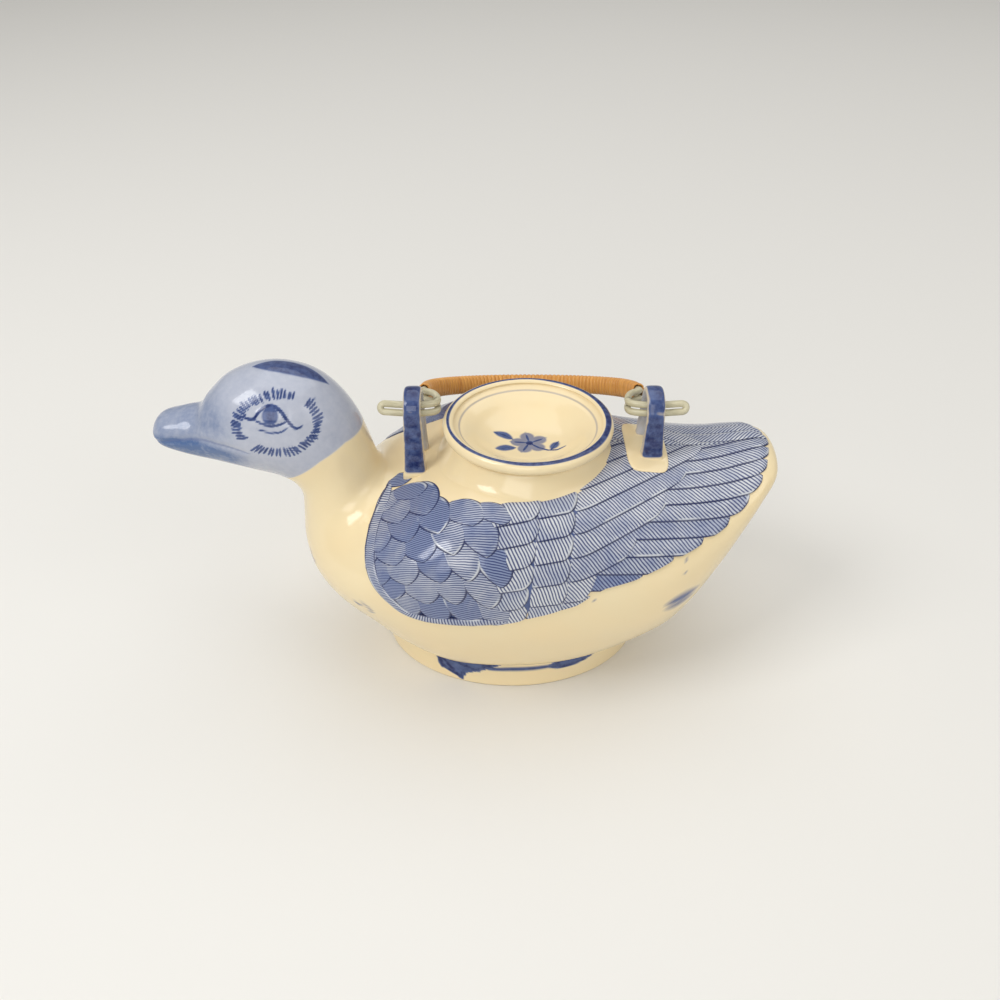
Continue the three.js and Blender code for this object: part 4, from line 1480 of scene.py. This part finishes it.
@dataclass
class Foot:
    """Oval foot under the belly, painted with webbed feet."""

    skin: PotSkin
    glaze: bpy.types.Material
    length: float = 95.6
    width: float = 71.4
    neck_length: float = 97.6
    neck_width: float = 61.0
    wall: float = 4.8
    top: float = 23.0
    bury: float = 1.6
    section: tuple = (
        (0, 0.9), (0, 4), (0, 9), (0, 14), (0, 24), (0.5, 24), (1, 24), (1, 14), (1, 6), (1, 0.9),
        (0.85, 0.1), (0.5, 0), (0.15, 0.1), (0, 0.9),
    )

    def ink(self, x: Array, z: Array) -> Array:
        """Webbed foot and its long leg, painted on each side.

        Args:
            x: Places along the pot, from the drawing's origin.
            z: Their heights.

        Returns:
            The ink, from 0 to 1.
        """
        side = np.stack([x, z], 1)
        web = [(-27.8, 9.6), (-25.8, 4.4), (-22, 3.0), (-18.4, 1.6)]
        web += [(-16.6, 4.6), (-12.2, 6.2), (-7, 8.3), (-4, 9.8)]
        within, nearest = inside(np.array([*web, (-27.8, 11)]), side)
        gap = np.linalg.norm(nearest - side, axis=1) * np.where(within, 1, -1)
        webbing = smoothstep(-0.3, 0.3, gap) * (0.95 - 0.5 * smoothstep(0.9, 1.7, gap))
        toes = [stroke(side, [(-27.3, 10), toe], 1.3, soft=0.6, taper=0.2) for toe in web[1:6:2]]
        leg = 0.6 * stroke(side, [(-9, 7.4), (-1, 7.8), (8, 7.8), (16, 7.9)], 1.3, soft=0.7, taper=0.2)
        blade = [(13.5, 7.8), (20, 8.1), (26, 8.7), (31.5, 9.6)]
        leaf = 0.95 * stroke(side, blade, 3.9, soft=0.6, taper=0.5) - 0.4 * stroke(side, blade, 2.2, soft=0.8)
        return np.maximum.reduce([webbing, *toes, leg, leaf])

    def build(self) -> None:
        """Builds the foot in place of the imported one."""
        bm = new_mesh("wash", "ink")

        def place(turn: Array, share: Array) -> Placed:
            """Sets the ring's vertices on the oval foot, which ends inside the belly.

            Args:
                turn: Way round the foot.
                share: Way round its section.

            Returns:
                Points, and the painting's marks.
            """
            angle = turn * math.tau
            steps = np.linspace(0, 1, len(self.section))
            inward, height = (np.interp(share, steps, values) for values in zip(*self.section))
            up = height / self.top
            long = self.length / 2 + (self.neck_length - self.length) / 2 * up
            wide = self.width / 2 + (self.neck_width - self.width) / 2 * up
            x = (long - self.wall * inward) * np.cos(angle)
            y = (wide - self.wall * inward) * np.sin(angle)
            roof = self.skin.height_at(x + self.skin.origin[0], y + self.skin.origin[1], lower=True)
            z = np.minimum(height, roof + self.bury)
            points = np.stack([x, y, z], 1) + self.skin.origin
            outer = inward < 0.05
            return points, {"wash": 0.0, "ink": self.ink(x, z) * outer}

        looped(bm, 320, 104, place)
        finished(bm, "foot_rim", self.glaze, Body.POT, Slot.GLAZED, ("foot_ring",))


@dataclass
class Collar:
    """Ring round the mouth that flares down into the back."""

    skin: PotSkin
    glaze: bpy.types.Material
    mouth: float = 42.0
    top_radius: float = 26.2
    foot_radius: float = 32.0
    tail_foot_radius: float = 29.4
    rings: int = 160
    sides: int = 64

    def build(self) -> None:
        """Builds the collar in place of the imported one."""
        _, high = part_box("mouth_collar")
        seat = high.z / MM
        axis = self.skin.origin + np.array([self.skin.lid_set_back, 0, 0])
        bm = new_mesh("wash", "ink")

        def place(turn: Array, share: Array) -> Placed:
            """Sets the ring's vertices on the collar.

            The section goes over the lid's seat up to a tenth of its way, down the flare up to seven
            tenths, and back under the skin and up the mouth's wall.

            Args:
                turn: Way round the mouth.
                share: Way round the section.

            Returns:
                Points, and the marks wash and ink.
            """
            angle = turn * math.tau
            inner = self.mouth / 2
            flare = np.clip((share - 0.1) / 0.6, 0, 1)
            tailwards = np.clip(np.cos(angle), 0, 1) ** 1.5
            foot = self.foot_radius + (self.tail_foot_radius - self.foot_radius) * tailwards
            radius = self.top_radius + (foot - self.top_radius) * flare
            top = np.clip(share / 0.1, 0, 1)
            radius = np.where(share < 0.1, inner + 0.7 + (self.top_radius - inner - 0.7) * top, radius)
            inwards = share > 0.7
            back = np.clip((share - 0.7) / 0.3, 0, 1)
            radius = np.where(inwards, foot + (inner - foot) * np.clip(back * 2.4, 0, 1), radius)
            x, y = axis[0] + radius * np.cos(angle), axis[1] + radius * np.sin(angle)
            skin = self.skin.height_at(x, y)
            edge_x = axis[0] + self.top_radius * np.cos(angle)
            edge_y = axis[1] + self.top_radius * np.sin(angle)
            drop = seat - self.skin.height_at(edge_x, edge_y)
            z = skin - 0.12 + drop * (1 - flare) ** 2.3
            z = np.where(share < 0.1, seat, z)
            rounding = np.clip(1 - np.abs(share - 0.1) / 0.05, 0, 1)
            z = z - 0.55 * rounding**2 * (share <= 0.15)
            under = skin - 1.4 - 1.6 * np.clip(back * 2.4, 0, 1)
            rise = np.clip((back - 0.42) / 0.58, 0, 1)
            z = np.where(inwards, under + (seat - 0.7 - under) * rise, z)
            return np.stack([x, y, z], 1), {"wash": 0.0, "ink": 0.0}

        looped(bm, self.rings, self.sides, place)
        finished(bm, "mouth_flare", self.glaze, Body.POT, Slot.GLAZED, ("mouth_collar",))


@dataclass
class Lid:
    """Dished lid with a beaded rim, painted with a rim line and a flower."""

    skin: PotSkin
    glaze: bpy.types.Material
    diameter: float = 57.4
    bead: float = 2.1
    dish: float = 7.4
    locating: float = 20.4
    line_radius: float = 26.9
    ledge_radius: float = 23.1
    petals: int = 5
    rings: int = 190
    sides: int = 168

    def profile(self) -> Array:
        """Section of the lid from the dish's middle, over the rim, to the underside's middle.

        Returns:
            Radius and height of each point.
        """
        rim = self.diameter / 2 - self.bead
        top = [(0, -self.dish), (7, -7.25), (12.2, -6.35), (16.3, -4.5), (19.6, -2.3)]
        top += [(21.8, -1.1), (22.9, -0.75)]
        ledge = [(23.4, -0.35), (24.6, 0.25), (25.4, 0.9)]
        turns = np.radians(np.arange(140, -91, -23))
        arc = [(rim + self.bead * math.cos(turn), self.bead * math.sin(turn)) for turn in turns]
        edge = [(22.4, -2.3), (20.9, -2.5), (self.locating, -3.1), (self.locating, -4.6), (18.8, -6.2)]
        under = [(14.7, -8.9), (9.2, -10.25), (0, -10.4)]
        return smooth_path(np.array([*top, *ledge, *arc, *edge, *under]), self.rings + 1)

    def flower(self, x: Array, y: Array) -> Array:
        """Five-petalled flower with a stem and leaves, in the dish.

        Args:
            x: Places from the lid's middle.
            y: The same, across the pot.

        Returns:
            The ink, from 0 to 1.
        """
        at = np.stack([x, y], 1)
        middle = np.array([0.6, -0.8])
        ink = np.zeros(len(at))
        for petal in range(self.petals):
            turn = math.tau * petal / self.petals + 0.5
            way = np.array([math.cos(turn), math.sin(turn)])
            body = stroke(at, [middle + reach * way for reach in (0.9, 3.8, 6.4)], 5.0, soft=0.8, taper=0.5)
            vein = stroke(at, [middle + 1.2 * way, middle + 5.2 * way], 0.8, soft=0.4)
            ink = np.maximum(ink, np.maximum(0.34 * body, 0.9 * vein))
        heart = np.linalg.norm(at - middle, axis=1)
        ink = np.maximum(ink, 0.9 * smoothstep(1.5, 0.9, heart))
        stem = [(3.6, -3.4), (6.6, -5.6), (9.8, -6.2), (12.6, -4.8)]
        ink = np.maximum(ink, 0.9 * stroke(at, stem, 0.6, soft=0.35, taper=0.3))
        for root, end, wide in (
            ((-4.0, -3.8), (-11.0, -6.0), 3.8),
            ((-5.0, 1.4), (-11.6, 4.4), 3.6),
            ((7.8, -5.4), (10.4, -0.8), 3.0),
        ):
            bend = (np.array(root) + np.array(end)) / 2 + np.array([0.3, 0.8])
            leaf = stroke(at, [root, bend, end], wide, soft=0.7, taper=0.8)
            rib = stroke(at, [root, bend, end], 0.5, soft=0.3, taper=0.3)
            ink = np.maximum(ink, np.maximum(0.42 * leaf, 0.9 * rib))
        return ink

    def build(self) -> None:
        """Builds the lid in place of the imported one."""
        _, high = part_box("lid")
        plane = high.z / MM - self.bead
        axis = self.skin.origin + np.array([self.skin.lid_set_back, 0, plane])
        profile = self.profile()
        bm = new_mesh("wash", "ink")

        def place(ring: Array, turn: Array) -> Placed:
            """Sets the sphere on the lid's section.

            Args:
                ring: Way along the section.
                turn: Way round the lid.

            Returns:
                Points, and the painting's marks.
            """
            i = np.rint(ring * self.rings).astype(int)
            radius, height = profile[i, 0], profile[i, 1]
            angle = turn * math.tau
            x, y = radius * np.cos(angle), radius * np.sin(angle)
            upper = ring < 0.5
            wide = 1.25 + 0.5 * np.cos(angle) + 0.12 * np.sin(7 * angle)
            line = np.clip((wide / 2 - np.abs(radius - self.line_radius)) / 0.3 + 0.5, 0, 1) * 0.95
            fine = np.clip((0.28 - np.abs(radius - self.ledge_radius)) / 0.3 + 0.5, 0, 1) * 0.2
            ink = np.maximum.reduce([line, fine, self.flower(x, y)]) * upper
            points = np.stack([x, y, height], 1) + axis
            return points, {"wash": 0.0, "ink": ink}

        loft(bm, self.rings, self.sides, place)
        finished(bm, "lid_dish", self.glaze, Body.LID, Slot.LID, ("lid",))


@dataclass
class Lugs:
    """Two strap lugs that carry the bail, brushed with cobalt on their outer face."""

    skin: PotSkin
    glaze: bpy.types.Material
    hole: float = 9.2
    strap: float = 3.1
    width: float = 5.8
    foot_width: float = 7.4
    spread: float = 1.3
    pad_length: float = 14.0
    pad_girth: float = 14.5
    rings: int = 110
    sides: int = 40

    def strap_lug(self, node_name: str, seed: int) -> None:
        """Builds one lug in place of a packed one.

        Args:
            node_name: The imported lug's node.
            seed: Start of the brush's random wear.
        """
        low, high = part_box(node_name)
        x = (low.x + high.x) / 2 / MM
        eye = high.z / MM - self.hole / 2 - self.strap
        middle = self.hole / 2 + self.strap / 2
        reach = np.array([x, x])
        feet = np.array([-middle - 1.6, middle + 1.6]) + self.skin.origin[1]
        ground = float(self.skin.height_at(reach, feet).min())
        drop = eye - ground + 1.6
        leg = [(-middle - self.spread / 2 * t, -drop * t) for t in np.linspace(1, 0, 5)[:-1]]
        arc = [(-middle * math.cos(turn), middle * math.sin(turn)) for turn in np.linspace(0, math.pi, 13)]
        line = smooth_path(np.array([*leg, *arc, *[(-a, b) for a, b in leg[::-1]]]), self.rings - 1)
        chance = np.random.default_rng(seed)
        fade = chance.uniform(0.2, 1.0, 24)
        tangent = unit(np.gradient(line, axis=0))
        bm = new_mesh("wash", "ink")

        def place(ring: Array, turn: Array) -> Placed:
            """Sets the sphere on the strap, wider and thicker at its feet.

            Args:
                ring: Way along the strap from foot to foot.
                turn: Way round its section.

            Returns:
                Points, the marks of the brush, and a grey-blue wash on the inner face that is painted shade.
            """
            step = np.rint(ring * self.rings).astype(int)
            i = np.clip(step - 1, 0, len(line) - 1)
            fill = ((step > 0) & (step < self.rings)).astype(float)
            centre, way = line[i], tangent[i]
            out = np.stack([-way[:, 1], way[:, 0]], 1)
            angle = turn * math.tau
            c, s = np.cos(angle), np.sin(angle)
            round_off = (np.abs(c) ** 3.6 + np.abs(s) ** 3.6) ** (-1 / 3.6)
            down = np.clip(-centre[:, 1] / drop, 0, 1)
            foot = np.exp(-((drop - 1.6 + centre[:, 1]) / 1.7).clip(0, None))
            half_wide = (self.width + (self.foot_width - self.width) * down) / 2 + 0.55 * foot
            half_thick = (self.strap + self.spread * down) / 2 + 0.5 * foot
            side = c * round_off * half_wide * fill
            thick = s * round_off * half_thick * fill
            wobble = 0.12 * np.sin(centre[:, 1] * 1.3 + seed) * fill
            spot = centre + out * (thick + wobble)[:, None]
            points = np.stack([x + side, self.skin.origin[1] + spot[:, 0], eye + spot[:, 1]], 1)
            outer = smoothstep(0.0, 0.45, s)
            inner = 1 - outer
            near_edge = smoothstep(0.72, 0.97, np.abs(c) * round_off)
            brushed = np.interp(i / len(line) * 23, np.arange(24), fade)
            worn = smoothstep(0.2, -0.35, down - 0.25 + 0.3 * brushed)
            above_foot = smoothstep(drop - 2.6, drop - 4.0, -centre[:, 1])
            dabs = 0.12 * np.sin(3.1 * c + 0.9 * centre[:, 1] + seed) + 0.1 * np.sin(2.3 * centre[:, 1])
            depth = np.clip(0.58 + 0.6 * brushed - 0.35 * worn + dabs, 0.22, 1)
            ink = outer * (1 - 0.8 * near_edge) * above_foot * depth
            # The inner face gets a pale grey-blue wash that is painted shade, where the cream strap lies in
            # its own shadow
            inner_painted_shade = 0.28 * inner * above_foot
            return points, {"wash": inner_painted_shade, "ink": np.clip(ink, 0, 1)}

        loft(bm, self.rings, self.sides, place)
        finished(bm, f"{node_name}_strap", self.glaze, Body.POT, Slot.COBALT, (node_name,))

    def pad(self) -> None:
        """Builds the smoothed clay that joins the rear lug to the back, over the feathers."""
        low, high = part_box("rear_lug")
        middle = (low.x + high.x) / 2 / MM - 1.4
        bm = new_mesh("wash", "ink")

        def place(ring: Array, turn: Array) -> Placed:
            """Sets the sphere on the back as a flat pad with rounded corners.

            Args:
                ring: Way from the pad's underside to its top.
                turn: Way round it.

            Returns:
                Points, and the marks wash and ink.
            """
            rise, angle = math.pi * (ring - 0.5), turn * math.tau
            flat = np.sign(np.sin(rise)) * np.abs(np.sin(rise)) ** 0.3
            c, s = np.cos(angle), np.sin(angle)
            corner = (np.abs(c) ** 5 + np.abs(s) ** 5) ** (-1 / 5)
            reach = np.cos(rise) ** 0.6 * corner
            along = middle + self.pad_length / 2 * c * reach
            girth = self.pad_girth * s * reach
            place_on, turned = self.skin.located(("x", "girth"), (along, np.abs(girth)))
            growth = 0.35 + 0.75 * flat
            return self.skin.points(place_on, turned * np.sign(girth), growth), {"wash": 0.0, "ink": 0.0}

        loft(bm, 40, 96, place)
        finished(bm, "rear_lug_pad", self.glaze, Body.POT, Slot.GLAZED)

    def build(self) -> None:
        """Builds both lugs and the rear one's pad."""
        self.strap_lug("front_lug", 3)
        self.strap_lug("rear_lug", 8)
        self.pad()


@dataclass
class Bail:
    """Doubled cane strand with a hairpin hook at each end, bound with fine cane."""

    skin: PotSkin
    pale: Cane = Cane("raw split cane, scraped", "#d9d2b4", "#b3aa88")
    honey: Cane = Cane("honey cane, wound", "#ebad55", "#bf7a30", fibre_mm=0.6, streak_mm=14.0)
    lug_spacing: float = 79.4
    lug_width: float = 5.8
    lug_hole: float = 9.2
    lug_strap: float = 3.1
    lug_set_back: float = 1.65
    strand: float = 2.3
    spacing: float = 2.75
    height: float = 72.0
    lean_in: float = 2.0
    crank: float = 3.5
    rest_drop: float = 25.5
    hook_reach: float = 9.5
    hook_rise: float = 14.0
    hook_clearance: float = 3.2
    hook_belly: float = 1.5
    hook_lift: float = 0.4
    pitch: float = 1.75
    band: float = 0.8
    seat: float = 0.3

    def __post_init__(self) -> None:
        """Finds the hinge line and the bail's own directions at rest."""
        _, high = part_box("front_lug")
        eye = high.z / MM - self.lug_hole / 2 - self.lug_strap
        drop = math.radians(self.rest_drop)
        self.hinge = self.skin.origin + np.array([self.skin.lid_set_back + self.lug_set_back, 0, eye])
        self.out = np.array([0, math.cos(drop), -math.sin(drop)])
        self.square = np.array([0, math.sin(drop), math.cos(drop)])

    def line(self, count: int) -> Array:
        """Middle line from the front hook over the arch to the rear hook.

        Args:
            count: How many points to return.

        Returns:
            Points at even distances.
        """
        lug = self.lug_spacing / 2
        leg = lug - self.lean_in
        spring = self.height - leg
        bend = lug - self.lug_width / 2 - self.hook_clearance
        hook = [
            (lug + self.hook_reach, 0, self.hook_lift),
            (lug + self.lug_width / 2, 0, 0),
            (lug - self.lug_width / 2, 0, 0),
            (bend - self.hook_belly * 0.7, self.hook_rise * 0.16, self.hook_lift),
            (bend - self.hook_belly, self.hook_rise * 0.42, self.crank * 0.4),
            (bend, self.hook_rise * 0.72, self.crank * 0.8),
            (leg - self.hook_belly * 0.4, self.hook_rise, self.crank),
            (leg, (self.hook_rise + spring) / 2, self.crank),
        ]
        turns = np.linspace(0, math.pi, 11)
        arch = [(-leg * math.cos(turn), spring + leg * math.sin(turn), self.crank) for turn in turns]
        drawn = np.array([*[(-a, b, c) for a, b, c in hook], *arch, *hook[::-1]])
        placed = drawn[:, :1] * np.array([1, 0, 0]) + drawn[:, 1:2] * self.out + drawn[:, 2:] * self.square
        return smooth_path(self.hinge + placed, count)

    def strands(self) -> None:
        """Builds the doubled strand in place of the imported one."""
        lane = self.spacing / 2
        line = self.line(260)
        start = int(len(line) * 0.46)

        def hairpin(end: Array, outwards: float, way: int) -> Array:
            """Turn of the strand at a hook's tip.

            Args:
                end: End of the middle line.
                outwards: Side of the bail, as the sign of x.
                way: Sense of the turn.

            Returns:
                Points from one lane to the other.
            """
            turns = np.radians(np.linspace(-80, 80, 15)) * way
            tip = outwards * np.array([1.0, 0, 0])
            bulge = lane * 1.1 * np.outer(np.cos(turns), tip)
            return end + bulge + lane * np.outer(np.sin(turns), self.square)

        path = np.vstack([
            line[:start][::-1] + lane * self.square,
            hairpin(line[0], -1.0, -1),
            line - lane * self.square,
            hairpin(line[-1], 1.0, 1),
            line[start + 1 :][::-1] + lane * self.square,
        ])
        bm = new_mesh("along", "around")
        tube(bm, path, self.out + 0.3 * self.square, (self.strand / 2, self.strand / 2), 12)
        finished(bm, "cane_strand", self.pale.material(), Body.BAIL, Slot.PALE_CANE, ("bail_strand",))

    def winding(self) -> None:
        """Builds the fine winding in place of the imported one."""
        line = self.line(2400)
        length = travelled(line)
        hook = self.hook_reach + self.lug_width / 2 + 3 * self.strand + self.hook_rise + self.crank
        steps_per_turn = 14
        turns = round((length[-1] - 2 * hook) / self.pitch)
        places = np.linspace(hook, length[-1] - hook, turns * steps_per_turn + 1)
        centre = np.stack([np.interp(places, length, line[:, k]) for k in range(3)], 1)
        along = unit(np.gradient(centre, axis=0))
        square = unit(self.square - (along @ self.square)[:, None] * along)
        across = np.cross(along, square)
        turn = np.arange(len(places)) / steps_per_turn * math.tau
        outwards = square * np.cos(turn)[:, None] + across * np.sin(turn)[:, None]
        shift = np.clip(1.7 * np.cos(turn), -1, 1) * self.spacing / 2
        core = self.strand / 2 + self.seat
        path = centre + square * shift[:, None] + outwards * (core + self.band / 2)
        bm = new_mesh("along", "around")
        tube(bm, path, along, (self.pitch * 0.49, self.band / 2), 8)
        finished(bm, "cane_winding", self.honey.material(), Body.BAIL, Slot.HONEY_CANE, ("bail_binding",))

    def build(self) -> None:
        """Builds the whole bail."""
        self.strands()
        self.winding()


@dataclass
class Studio:
    """Pale floor, soft lights and the camera."""

    floor: str = "#e8e6e1"
    sky: str = "#f4f3f0"
    sky_strength: float = 0.4
    camera_at: tuple[float, float, float] = (0.01053, -0.25766, 0.247)
    tilt: float = 52.9
    lens: float = 31.32
    sensor: float = 36.0
    lamps: tuple = (
        ("window", (-0.8, -0.45, 1.1), 0.6, 6.8),
        ("front", (-0.2, -1.3, 0.75), 0.9, 5.5),
        ("fill", (1.1, -0.7, 0.9), 0.8, 2.6),
        ("ceiling", (0.2, 0.8, 2.6), 3.0, 32.0),
    )

    def stand(self) -> None:
        """Lays the floor and sets the world."""
        bm = bmesh.new()
        bmesh.ops.create_grid(bm, x_segments=1, y_segments=1, size=4)
        floor = as_object(bm, "floor")
        # Uncoated paper scatters light evenly, so the floor shows soft shadows and no reflection
        material, tree = empty_material("matt backdrop paper")
        surface = node(tree, "ShaderNodeBsdfPrincipled", {"Base Color": linear(self.floor), "Roughness": 0.8})
        node(tree, "ShaderNodeOutputMaterial", {"Surface": surface.outputs[0]})
        floor.data.materials.append(material)
        world = bpy.data.worlds.new("studio")
        world.use_nodes = True
        world.node_tree.nodes.clear()
        light = {"Color": linear(self.sky), "Strength": self.sky_strength}
        background = node(world.node_tree, "ShaderNodeBackground", light)
        node(world.node_tree, "ShaderNodeOutputWorld", {"Surface": background.outputs[0]})
        bpy.context.scene.world = world

    def lamp(self, name: str, at: tuple, size: float, power: float) -> None:
        """Adds a square soft light that faces the pot.

        Args:
            name: Name of the lamp.
            at: Its place in metres.
            size: Length of its side in metres.
            power: Its power in watts.
        """
        light = bpy.data.lights.new(name, "AREA")
        light.size = size
        light.energy = power
        lamp = bpy.data.objects.new(name, light)
        lamp.location = at
        lamp.rotation_euler = (Vector((0, 0, 0.05)) - Vector(at)).to_track_quat("-Z", "Y").to_euler()
        bpy.context.scene.collection.objects.link(lamp)

    def build(self) -> None:
        """Sets up the whole studio."""
        self.stand()
        for lamp in self.lamps:
            self.lamp(*lamp)
        data = bpy.data.cameras.new("camera")
        data.lens = self.lens
        data.sensor_width = self.sensor
        camera = bpy.data.objects.new("camera", data)
        camera.location = self.camera_at
        camera.rotation_euler = (math.radians(self.tilt), 0, 0)
        bpy.context.scene.collection.objects.link(camera)
        bpy.context.scene.camera = camera
        bpy.context.scene.view_settings.view_transform = "Standard"


def main() -> None:
    """Builds the studio and the teapot."""
    logging.basicConfig(level=logging.INFO, format="%(name)s: %(message)s")
    Studio().build()
    skin = PotSkin()
    glaze = PaintedPorcelain().material()
    Pot(skin, glaze).build()
    Wings(skin).build()
    Foot(skin, glaze).build()
    Collar(skin, glaze).build()
    Lid(skin, glaze).build()
    Lugs(skin, glaze).build()
    Bail(skin).build()


if __name__ == "__main__":
    main()
